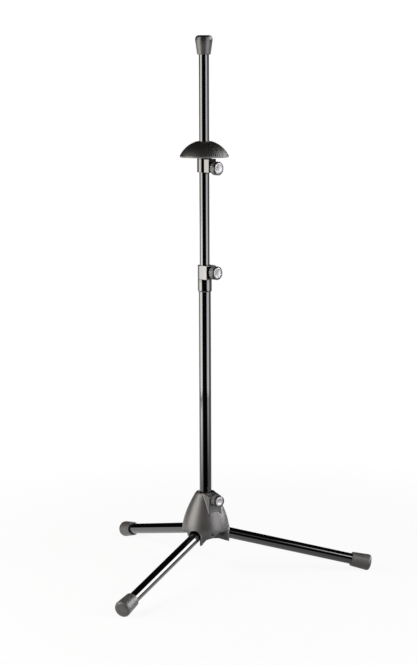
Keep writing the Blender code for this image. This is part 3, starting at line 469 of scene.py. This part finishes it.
# The hood: one dark grey moulding of filled plastic that carries everything. It is a bell with three
# slots for the legs, flat cheeks beside them, a lip round each mouth and a square boss for the clamp
# screw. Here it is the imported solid, remeshed evenly and set on the bell's true curve.
HOOD_VOXEL = 0.95 * MM
HOOD_RADIUS = 43.3 * MM
SHOULDER_RADIUS = 18.6 * MM
SHOULDER_DROP = 2.0 * MM
SHOULDER_EDGE = 1.0 * MM        # below the shoulder, what is left as it is
STRAIGHT_DROP = 67.2 * MM       # from here on, below the top, the bell's side is upright
SWELL = 1.55                    # 1 is a straight cone, more is a rounder bell
SOFTEN_FIRST = 6                # passes of smoothing, before and after the skin is set on the curve
SOFTEN_LAST = 4
CATCH = 0.35 * MM               # what is nearer the curve than this is set on it
MOUTH_LIP = 1.5 * MM            # the lips stand this far off the bell
MOUTH_RADIUS = 12.0 * MM        # the dark gap over a leg where it leaves the hood
MOUTH_RISE = 1.8 * MM           # its middle lies this far over the leg's
MOUTH_BACK = 5.0 * MM           # it starts this far along the leg from its pin
MOUTH_FRONT = 60.0 * MM         # and ends outside the hood
MOUTH_CLOSING = 0.1             # the gap narrows by this share, over this height of the leg's sides
MOUTH_SIDE = 5.0 * MM
SKIN_DEPTH = 1.8 * MM           # what lies deeper than this, and below the next height, is inside, and gets painted recess shade
INNER_TOP = 18.0 * MM           # above the pins
LOW_SHADE_DROP = 16.0 * MM           # below the pins, where the painted shade of the lower skin starts to fade
HOOD_SHARP = 40.0               # degrees
pivot = hinge_place("front").translation.z


def make_moulding():
    """Glass-filled plastic with a fine grain, a little cloudy. The faces inside its skin are darker, as
    painted shade in the recesses, and the skin is painted darker towards the bottom, as painted shade."""
    made, wire, shader = new_finish("grey_moulding")
    grain = wire.noise(1500.0, detail=2.0)
    cloud = wire.noise(60.0, detail=4.0, roughness=0.6)
    x, y, z = wire.places()
    reach = ((x - AXIS.x) * (x - AXIS.x) + y * y) ** 0.5
    # painted shade: faces deeper than the skin are darker, and so is the skin towards the bottom
    recess_shade = reach.under(HOOD_RADIUS - SKIN_DEPTH, 1000.0) * z.under(pivot + INNER_TOP, 500.0)
    low_shade = z.over(pivot - LOW_SHADE_DROP, 30.0) * 0.4 + 0.6
    skin = (cloud * low_shade).between(grey(0.018, 0.07), grey(0.054, 0.05))
    feed(shader, Base_Color=recess_shade.between(skin, grey(0.006, 0.05)), Roughness=0.34 + grain * 0.14,
         Normal=grain.bumps(0.35, 0.18 * MM), IOR=1.75)
    return made


def settle(piece):
    """Keeps the mesh that a piece's modifiers make, and removes them."""
    bpy.context.view_layer.update()
    done = bpy.data.meshes.new_from_object(piece.evaluated_get(bpy.context.evaluated_depsgraph_get()))
    piece.modifiers.clear()
    piece.data = done


def soften(piece, passes):
    """Rounds a piece's edges a little, after any other modifier on it."""
    ease = piece.modifiers.new("ease", "SMOOTH")
    ease.factor = 0.5
    ease.iterations = passes
    settle(piece)


def bell_radius(drop):
    """The bell's radius at a distance below its top."""
    up = max(0.0, (STRAIGHT_DROP - drop) / (STRAIGHT_DROP - SHOULDER_DROP))
    return SHOULDER_RADIUS + (HOOD_RADIUS - SHOULDER_RADIUS) * (1 - up ** SWELL)


def shade_by_angle(piece, degrees=35.0):
    """Keeps edges sharper than an angle, and smooths the rest."""
    piece.data.set_sharp_from_angle(angle=math.radians(degrees))


moulding = make_moulding()
shape = bmesh.new()
shape.from_mesh(frame["nodes"]["base_hood"].data)
hood = piece_from("hood", shape, moulding)
remesh = hood.modifiers.new("even", "REMESH")
remesh.mode = "VOXEL"
remesh.voxel_size = HOOD_VOXEL
remesh.use_smooth_shade = True
soften(hood, SOFTEN_FIRST)
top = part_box("base_hood")[1].z
for point in hood.data.vertices:
    drop = top - point.co.z
    if drop <= SHOULDER_DROP + SHOULDER_EDGE:
        continue
    out = Vector((point.co.x - AXIS.x, point.co.y, 0.0))
    for skin in (0.0, MOUTH_LIP):
        gap = bell_radius(drop) + skin - out.length
        near = min(1.0, 2.0 - abs(gap) / CATCH)
        if near > 0.0:
            point.co += out.normalized() * gap * near
soften(hood, SOFTEN_LAST)
mouth_outline = [(0.0, MOUTH_FRONT), (MOUTH_RADIUS, MOUTH_FRONT),
                 (MOUTH_RADIUS, MOUTH_BACK), (0.0, MOUTH_BACK)]
for side in SIDES:
    bore = turned("mouth_" + side, mouth_outline, moulding)
    for point in bore.data.vertices:
        point.co.y *= 1.0 - MOUTH_CLOSING * min(1.0, max(0.0, point.co.x / MOUTH_SIDE))
        point.co.x -= MOUTH_RISE
    bore.data.transform(hinge_place(side))
    cut = hood.modifiers.new("mouth", "BOOLEAN")
    cut.operation = "DIFFERENCE"
    cut.solver = "MANIFOLD"
    cut.object = bore
    settle(hood)
    bpy.data.objects.remove(bore)
shade_by_angle(hood, HOOD_SHARP)
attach(hood, "base")
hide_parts("base_hood")


# The pole and the rod: the thick lower tube stands in the hood and carries the collar, and the thin upper
# tube runs inside it. Both are steel, in the same lacquer as the legs.
TUBE_WALL = 1.2 * MM
TUBE_EDGE = 0.4 * MM
upright = Matrix.Translation(AXIS)
for name in ("pole", "rod"):
    low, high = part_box(name + "_tube")
    radius = (high.x - low.x) / 2
    outline = tube_outline(radius, radius - TUBE_WALL, low.z, high.z, TUBE_EDGE)
    tube = turned(name, outline, lacquer, upright)
    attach(tube, name)
    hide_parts(name + "_tube")


# The collar and the rest's sleeve: lacquered castings with a square boss on one side for the clamp
# screw. Rings of like points run down each one, and change from the boss's outline to a plain round.
KNOB_ANGLE = math.radians(-46.4)
PLAN_STEPS = 64
PLAIN_OPENING = math.radians(60.0)      # on a plain round, the points for the boss spread over this
BOSS_CORNER = 0.8 * MM
BOSS_EDGE = 0.7 * MM
BOSS_SHARES = (0.3, 0.6)                # where the points lie on the boss's sides
ROUND_INSET = 0.05 * MM                 # the plain round starts this far in from its side
ROUND_START = 0.02 * MM                 # and this far from the boss's end,
ROUND_HOLD = 0.4 * MM                   # and a ring holds its side straight from here on
WIDE_BORE = 11.3 * MM                   # for the pole in the collar, and for the sleeve's bush
BORE = 9.3 * MM                         # for the rod


def plan(radius, half_width, front, height):
    """The outline of a round body with a square boss towards +X, seen from above. A front of 0 gives
    the plain round with as many points."""
    open_angle = math.asin(half_width / radius) if front else PLAIN_OPENING
    points = []
    for i in range(PLAN_STEPS + 1):
        angle = open_angle + (2 * math.pi - 2 * open_angle) * i / PLAN_STEPS
        points.append((radius * math.cos(angle), radius * math.sin(angle)))
    start = radius * math.cos(open_angle)
    if front:
        corners = [(start, -half_width), (front, -half_width), (front, half_width), (start, half_width)]
        points += [(start + (front - start) * t, -half_width) for t in BOSS_SHARES]
        points += eased(corners, BOSS_CORNER)[1:-1]
        points += [(start + (front - start) * t, half_width) for t in reversed(BOSS_SHARES)]
    else:
        count = 2 * (EASE_STEPS + 3) + 2 * len(BOSS_SHARES)     # as the boss's two corners and sides
        for i in range(count):
            angle = -open_angle + 2 * open_angle * (i + 1) / (count + 1)
            points.append((radius * math.cos(angle), radius * math.sin(angle)))
    return [Vector((x, y, height)) for x, y in points]


def plain_rings(points):
    """Plain round rings through (radius, height) points."""
    return [plan(radius, 0, 0, height) for radius, height in points]


def edge_rings(radius, boss, height, up):
    """Rings round a boss's eased edge, the flat side first when up, with one more to hold each side
    flat. The boss is its half width, and its front's distance from the axis."""
    drops = [(BOSS_EDGE + HOLD, 0.0)]
    for i in range(EASE_STEPS + 1):
        turn = math.pi / 2 * i / EASE_STEPS
        drops.append((BOSS_EDGE * (1 - math.sin(turn)), BOSS_EDGE * (1 - math.cos(turn))))
    drops.append((0.0, BOSS_EDGE + HOLD))
    half_width, front = boss
    made = [plan(radius - inset, half_width - inset, front - inset, height - drop if up else height + drop)
            for inset, drop in drops]
    return made if up else made[::-1]


def lofted(name, rings, finish, place):
    """A closed skin through rings of like points, from the top of the outside round to the inside."""
    shape = bmesh.new()
    loops = [[shape.verts.new(point) for point in ring] for ring in rings]
    count = len(loops[0])
    for upper, lower in zip(loops, loops[1:] + loops[:1]):
        for i in range(count):
            shape.faces.new((upper[i], lower[i], lower[(i + 1) % count], upper[(i + 1) % count]))
    bmesh.ops.transform(shape, matrix=place, verts=shape.verts)
    return piece_from(name, shape, finish)


COLLAR_RADIUS = 12.8 * MM
COLLAR_BOSS = (12.0 * MM, 16.5 * MM)
COLLAR_BOSS_LENGTH = 25.5 * MM          # from the top down
COLLAR_TAPER = 2.0 * MM
COLLAR_TAPER_HOLD = (0.1 * MM, 1.5 * MM)    # a ring in from the side and up from the end
COLLAR_FOOT_RADIUS = 11.8 * MM
BORE_STEP = 1.0 * MM                    # the height of the slope between its two bores
boss_place = upright @ Matrix.Rotation(KNOB_ANGLE, 4, "Z")
low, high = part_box("pole_collar")
ledge = high.z - COLLAR_BOSS_LENGTH
taper_inset, taper_rise = COLLAR_TAPER_HOLD
rings = edge_rings(COLLAR_RADIUS, COLLAR_BOSS, high.z, True)
rings += edge_rings(COLLAR_RADIUS, COLLAR_BOSS, ledge, False)
rings += plain_rings([(COLLAR_RADIUS - ROUND_INSET, ledge - ROUND_START),
                      (COLLAR_RADIUS, ledge - ROUND_HOLD), (COLLAR_RADIUS, low.z + COLLAR_TAPER),
                      (COLLAR_RADIUS - taper_inset, low.z + taper_rise), (COLLAR_FOOT_RADIUS, low.z),
                      (WIDE_BORE, low.z), (WIDE_BORE, ledge), (BORE, ledge + BORE_STEP), (BORE, high.z)])
collar = lofted("collar", rings, lacquer, boss_place)
shade_by_angle(collar)
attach(collar, "pole")
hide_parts("pole_collar")

SLEEVE_RADIUS = 13.0 * MM
SLEEVE_BOSS = (9.5 * MM, 20.5 * MM)
SLEEVE_BOSS_LENGTH = 24.3 * MM          # from the bottom up
SEAT_RISE = 28.5 * MM                   # from the bottom to the ring that carries the dome
SEAT_HEIGHT = 3.0 * MM
SEAT_RADIUS = 15.6 * MM
BUSH_DEPTH = 8.5 * MM                   # the wide bore, from the top down
BUSH_STEP = 0.5 * MM                    # the slope between its two bores
low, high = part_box("rest_sleeve")
sleeve_top = high.z
ledge = low.z + SLEEVE_BOSS_LENGTH
seat = low.z + SEAT_RISE
seat_top = seat + SEAT_HEIGHT
rings = plain_rings([(SLEEVE_RADIUS, high.z), (SLEEVE_RADIUS, seat_top), (SEAT_RADIUS, seat_top),
                     (SEAT_RADIUS, seat), (SLEEVE_RADIUS, seat), (SLEEVE_RADIUS, ledge + ROUND_HOLD),
                     (SLEEVE_RADIUS - ROUND_INSET, ledge + ROUND_START)])
rings += edge_rings(SLEEVE_RADIUS, SLEEVE_BOSS, ledge, True)
rings += edge_rings(SLEEVE_RADIUS, SLEEVE_BOSS, low.z, False)
rings += plain_rings([(BORE, low.z), (BORE, high.z - BUSH_DEPTH - BUSH_STEP),
                      (WIDE_BORE, high.z - BUSH_DEPTH), (WIDE_BORE, high.z)])
sleeve = lofted("sleeve", rings, lacquer, boss_place)
shade_by_angle(sleeve)
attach(sleeve, "rest")
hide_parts("rest_sleeve")


# The end cap: soft rubber over the rod's top, which the instrument's bell passes. It is waisted at the
# mouth and widest near the top, with a fine ring round it, above which it is worn smooth and painted darker
# as shade.
CAP_NECK = 12.1 * MM
CAP_BORE = 9.3 * MM
CAP_ROOF = 6.0 * MM
CAP_ROUND = 6.0 * MM
CAP_ROUND_STEPS = 8
CAP_BEVEL = 0.8 * MM            # at the mouth
CAP_EDGE = 0.5 * MM
RING_DROP = 8.0 * MM            # from the top to the ring
RING_STEP = 0.3 * MM            # how far it stands out
RING_LOW = 0.3 * MM             # its lower edge is this far down, and its upper edge slopes between
RING_HIGH = 0.7 * MM            # these two heights
RING_TOP = 1.2 * MM
DUST_AND_SHADE_RISE = 2.0 * MM          # over the ring, where the dust ends and the top's painted shade begins
low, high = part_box("end_cap")
cap_wide = (high.x - low.x) / 2
ring = high.z - RING_DROP
roof = high.z - CAP_ROOF


def make_cap_rubber(dust_and_shade_line):
    """Black rubber, dusty and paler below a height, and smoother above it, where it is painted darker as
    shade on the top.
    """
    made, wire, shader = new_finish("cap_rubber")
    stipple = wire.noise(1400.0, detail=2.0)
    bloom = wire.noise(150.0, detail=5.0, roughness=0.7)
    # dust below the line, and painted shade darkening the top above it
    dust_and_top_shade = wire.places()[2].under(dust_and_shade_line, 90.0)
    dust = (dust_and_top_shade * (0.25 + 1.1 * bloom)).clamped()
    feed(shader, Base_Color=dust.between(grey(0.004, 0.05), grey(0.05, 0.03)),
         Roughness=0.26 + stipple * 0.14 + dust_and_top_shade * 0.06, Normal=stipple.bumps(0.5, 0.3 * MM), IOR=1.6)
    return made


cap_outline = [(0.0, high.z)]
for i in range(CAP_ROUND_STEPS + 1):
    angle = math.pi / 2 * (1 - i / CAP_ROUND_STEPS)
    cap_outline.append((cap_wide - RING_STEP - CAP_ROUND + CAP_ROUND * math.cos(angle),
                        high.z - CAP_ROUND + CAP_ROUND * math.sin(angle)))
cap_outline += eased([(cap_wide - RING_STEP, ring + RING_TOP), (cap_wide, ring + RING_HIGH),
                      (cap_wide, ring - RING_LOW), (CAP_NECK, low.z + CAP_BEVEL),
                      (CAP_NECK - CAP_BEVEL, low.z), (CAP_BORE, low.z), (CAP_BORE, roof), (0.0, roof)],
                     CAP_EDGE)
cap = turned("cap", cap_outline, make_cap_rubber(ring + DUST_AND_SHADE_RISE), upright)
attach(cap, "rod")
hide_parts("end_cap")


# The bell rest: a moulded dome of black-brown plastic with fine ribs that fan out from a flat crown to
# a plain rim. It sits on the sleeve's ring, and the instrument's bell hangs over it.
DOME_RADIUS = 44.0 * MM
DOME_RIM = 3.0 * MM
DOME_SPHERE = 49.0 * MM
DOME_CROWN = 13.2 * MM
DOME_WALL = 2.4 * MM
DOME_EDGE = 0.6 * MM
DOME_RIBS = 64
DOME_RIB_DEPTH = 0.45 * MM
RIB_STEPS = 8
RIB_START = 0.6 * MM            # out from the crown
RIB_END = 0.2 * MM              # down past the rim's upper edge
RIB_FADE = 1.2 * MM
HUB_GAP = 0.3 * MM              # round the sleeve, and above its ring and its top
HUB_WALL = 2.3 * MM
OUTER_STEPS = 40
INNER_STEPS = 10
NO_LIMIT = 1.0                  # metres, past every point of a piece
SHARP_EDGE = 50.0               # degrees, for the ribs and flutes to stay smooth
low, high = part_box("bell_rest_dome")
rim = low.z + DOME_RIM
centre = rim - math.sqrt(DOME_SPHERE ** 2 - DOME_RADIUS ** 2)
hub = SLEEVE_RADIUS + HUB_GAP
hub_bottom = seat_top + HUB_GAP
hub_top = sleeve_top + HUB_GAP


def sphere_arc(radius, start, end, steps):
    """Points over a sphere's side, between two distances from the axis."""
    first, last = math.asin(start / radius), math.asin(end / radius)
    return [(radius * math.sin(first + (last - first) * i / steps),
             centre + radius * math.cos(first + (last - first) * i / steps)) for i in range(steps + 1)]


def make_dome_plastic(rim_top):
    """Black-brown plastic, paler on the plain rim."""
    made, wire, shader = new_finish("dome_plastic")
    grain = wire.noise(700.0, detail=3.0)
    cloud = wire.noise(70.0, detail=3.0)
    pale_rim = wire.places()[2].under(rim_top, 2000.0) * (0.6 + 0.4 * cloud)
    body = cloud.between(grey(0.004, 0.1), grey(0.01, 0.1))
    feed(shader, Base_Color=pale_rim.between(body, grey(0.13, 0.04)), Roughness=0.34 + grain * 0.12,
         Normal=grain.bumps(0.3, 0.15 * MM), IOR=1.5)
    return made


def surface_tree(name, sizes):
    """A Geometry Nodes tree with a mesh, named sizes and a finish going in and a mesh coming out."""
    tree = bpy.data.node_groups.new(name, "GeometryNodeTree")
    tree.interface.new_socket("Mesh", in_out="INPUT", socket_type="NodeSocketGeometry")
    for size in sizes:
        tree.interface.new_socket(size, in_out="INPUT", socket_type="NodeSocketFloat")
    tree.interface.new_socket("Finish", in_out="INPUT", socket_type="NodeSocketMaterial")
    tree.interface.new_socket("Mesh", in_out="OUTPUT", socket_type="NodeSocketGeometry")
    return tree


def grow(piece, tree, **sizes):
    """Runs a tree on a piece and keeps the plain mesh that comes out."""
    change = piece.modifiers.new(tree.name, "NODES")
    change.node_group = tree
    for item in tree.interface.items_tree:
        if item.in_out == "INPUT" and item.name in sizes:
            change[item.identifier] = sizes[item.name]
    settle(piece)


def rib_tree():
    """Draws a turned skin in between ribs that run from its axis outwards. Only what lies between two
    radii and two heights is drawn in, and the ribs fade at both ends."""
    tree = surface_tree("ribs", ("Count", "Depth", "Inner", "Outer", "Low", "High", "Fade"))
    start = Wire(tree).add("NodeGroupInput", output="Mesh")
    place = start.add("GeometryNodeInputPosition")
    x = start.add("ShaderNodeSeparateXYZ", output="X", Vector=place)
    y, z = x.other("Y"), x.other("Z")
    radius = (x * x + y * y) ** 0.5
    angle = x.math("ARCTAN2", y, x)
    wave = 0.5 - 0.5 * x.math("COSINE", angle * start.other("Count"))
    fade = start.other("Fade")
    inner = ((radius - start.other("Inner")) / fade).clamped()
    outer = ((start.other("Outer") - radius) / fade).clamped()
    lower = ((z - start.other("Low")) / fade).clamped()
    upper = ((start.other("High") - z) / fade).clamped()
    draw = 1.0 - start.other("Depth") * wave * (inner * outer) * (lower * upper) / radius
    moved = x.add("ShaderNodeCombineXYZ", X=x * draw, Y=y * draw, Z=z)
    drawn = start.add("GeometryNodeSetPosition", Geometry=start, Position=moved)
    solid = drawn.add("GeometryNodeRealizeInstances", Geometry=drawn)
    done = solid.add("GeometryNodeSetMaterial", Geometry=solid, Material=start.other("Finish"))
    end = tree.nodes.new("NodeGroupOutput")
    tree.links.new(done.socket, end.inputs["Mesh"])
    return tree


ribs = rib_tree()
dome_plastic = make_dome_plastic(rim)
outline = [(BORE, high.z)] + sphere_arc(DOME_SPHERE, DOME_CROWN, DOME_RADIUS, OUTER_STEPS)
outline += eased([outline[-1], (DOME_RADIUS, low.z), (DOME_RADIUS - DOME_WALL, low.z),
                  (DOME_RADIUS - DOME_WALL, rim)], DOME_EDGE)[1:]
outline += sphere_arc(DOME_SPHERE - DOME_WALL, DOME_RADIUS - DOME_WALL, hub + HUB_WALL, INNER_STEPS)[1:]
outline += [(hub + HUB_WALL, hub_bottom), (hub, hub_bottom), (hub, hub_top), (BORE, hub_top)]
dome = turned("dome", outline, dome_plastic, steps=DOME_RIBS * RIB_STEPS)
grow(dome, ribs, Count=float(DOME_RIBS), Depth=DOME_RIB_DEPTH, Inner=DOME_CROWN + RIB_START,
     Outer=DOME_SPHERE, Low=rim - RIB_END, High=NO_LIMIT, Fade=RIB_FADE, Finish=dome_plastic)
dome.data.transform(upright)
shade_by_angle(dome, SHARP_EDGE)
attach(dome, "rest")
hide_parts("bell_rest_dome")


# The clamps: on the hood, the collar and the sleeve a fluted black grip turns a zinc plated screw. The
# grip has a smooth rim, and a bright disc closes its end, with a turned ring round a shallow dish.
GRIP_FLUTES = 16
GRIP_FLUTE_DEPTH = 0.7 * MM
FLUTE_STEPS = 12
FLUTE_INNER = 1.6 * MM          # the flutes are cut this far in from the side
FLUTE_FADE = 0.6 * MM
FLUTE_RUN_OUT = 1.0 * MM        # and run past the grip's back
GRIP_RIM = 3.2 * MM
RIM_LAP = 0.2 * MM              # the rim's gloss starts this far below it
GRIP_BEVEL = 1.2 * MM
BACK_BEVEL = 0.8 * MM
GRIP_EDGE = 0.5 * MM
GRIP_BORE = 4.3 * MM
GRIP_LIP = 0.3 * MM             # the recess's edge lies this far below the rim
GRIP_STEP = 1.2 * MM            # no two points of its outline are much further apart than this
DISC_GAP = 0.2 * MM             # round the disc
DISC_BED = 0.3 * MM             # and under it
DISC_EDGE = 0.2 * MM
DISH_SHARE = 0.66               # of the disc's radius
DISH_DEPTH = 0.5 * MM
DISH_STEPS = 8
DISH_RING = 0.3 * MM            # the step up from the dish to the ring
DISC_RIM = ((0.9, 0.0), (0.6, 0.4), (0.0, 0.5))     # mm in from the side and down from the end
CLAMPS = {"hood": math.radians(-60.0), "collar": KNOB_ANGLE, "rest": KNOB_ANGLE}


def make_grip_plastic():
    """Hard plastic, matt and painted grey on the flutes as a painted highlight, and glossy black on the
    rim, which the mesh marks with an attribute."""
    made, wire, shader = new_finish("grip_plastic")
    grain = wire.noise(1200.0, detail=2.0)
    rim = wire.add("ShaderNodeAttribute", {"attribute_name": "rim"}, output="Fac")
    # painted highlight: the flutes are grey against the rim's black
    flute_sheen = grain.between(grey(0.06, 0.04), grey(0.1, 0.04))
    feed(shader, Base_Color=rim.between(flute_sheen, grey(0.003, 0.03)), Normal=grain.bumps(0.2, 0.12 * MM),
         Roughness=(0.3 + grain * 0.14) * (1.0 - rim) + 0.14 * rim)
    return made


def make_plate():
    """Bright plate on a satin face, a little hazy."""
    made, wire, shader = new_finish("chrome")
    haze = wire.noise(160.0, detail=4.0, roughness=0.6)
    feed(shader, Base_Color=haze.between(grey(0.3), grey(0.44, -0.01)), Roughness=0.32 + haze * 0.1,
         Metallic=1.0)
    return made


def extent(node, place):
    """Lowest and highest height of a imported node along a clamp's axis, and its radius round it."""
    back = place.inverted()
    points = [back @ point.co for point in frame["nodes"][node].data.vertices]
    heights = [point.z for point in points]
    return min(heights), max(heights), max(math.hypot(point.x, point.y) for point in points)


def divided(outline, step):
    """A closed outline with more points along its long sides, so that flutes can bend them."""
    made = []
    for first, second in zip(outline, outline[1:] + outline[:1]):
        parts = max(1, round(math.dist(first, second) / step))
        for i in range(parts):
            made.append((first[0] + (second[0] - first[0]) * i / parts,
                         first[1] + (second[1] - first[1]) * i / parts))
    return made


grip_plastic = make_grip_plastic()
chrome = make_plate()
for name, angle in CLAMPS.items():
    low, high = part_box(name + "_clamp_screw")
    height = (low.z + high.z) / 2
    place = (Matrix.Translation(AXIS + Vector((0.0, 0.0, height))) @ Matrix.Rotation(angle, 4, "Z")
             @ Matrix.Rotation(math.pi / 2, 4, "Y"))
    back, front, radius = extent(name + "_knob_grip", place)
    disc_low, disc_high, disc_radius = extent(name + "_knob_disc", place)
    lip = disc_radius + DISC_GAP
    bed = disc_low - DISC_BED
    outline = eased([(lip, front - GRIP_LIP), (radius - GRIP_BEVEL, front), (radius, front - GRIP_BEVEL),
                     (radius, back + BACK_BEVEL), (radius - BACK_BEVEL, back), (GRIP_BORE, back),
                     (GRIP_BORE, bed), (lip, bed)], GRIP_EDGE, closed=True)
    band = front - GRIP_RIM
    outline = divided(outline, GRIP_STEP)
    grip = turned(name + "_grip", outline, grip_plastic, steps=GRIP_FLUTES * FLUTE_STEPS)
    grow(grip, ribs, Count=float(GRIP_FLUTES), Depth=GRIP_FLUTE_DEPTH, Inner=radius - FLUTE_INNER,
         Outer=NO_LIMIT, Low=back - FLUTE_RUN_OUT, High=band, Fade=FLUTE_FADE, Finish=grip_plastic)
    rim_share = [1.0 if point.co.z > band - RIM_LAP else 0.0 for point in grip.data.vertices]
    grip.data.attributes.new("rim", "FLOAT", "POINT").data.foreach_set("value", rim_share)
    grip.data.transform(place)
    shade_by_angle(grip, SHARP_EDGE)
    dish = disc_radius * DISH_SHARE
    ledge = disc_high - DISH_RING
    disc_outline = [(dish * i / DISH_STEPS, ledge - DISH_DEPTH * (1 - (i / DISH_STEPS) ** 2))
                    for i in range(DISH_STEPS)]
    corners = [(dish, ledge), (dish + DISH_RING, disc_high)]
    corners += [(disc_radius - inset * MM, disc_high - drop * MM) for inset, drop in DISC_RIM]
    corners += [(disc_radius, disc_low), (0.0, disc_low)]
    disc = turned(name + "_disc", disc_outline + eased(corners, DISC_EDGE), chrome, place)
    shade_by_angle(disc)
    for piece, node, slot in ((grip, "_knob_grip", "grip_plastic"), (disc, "_knob_disc", "chrome")):
        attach(piece, name + "_knob")
        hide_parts(name + node)
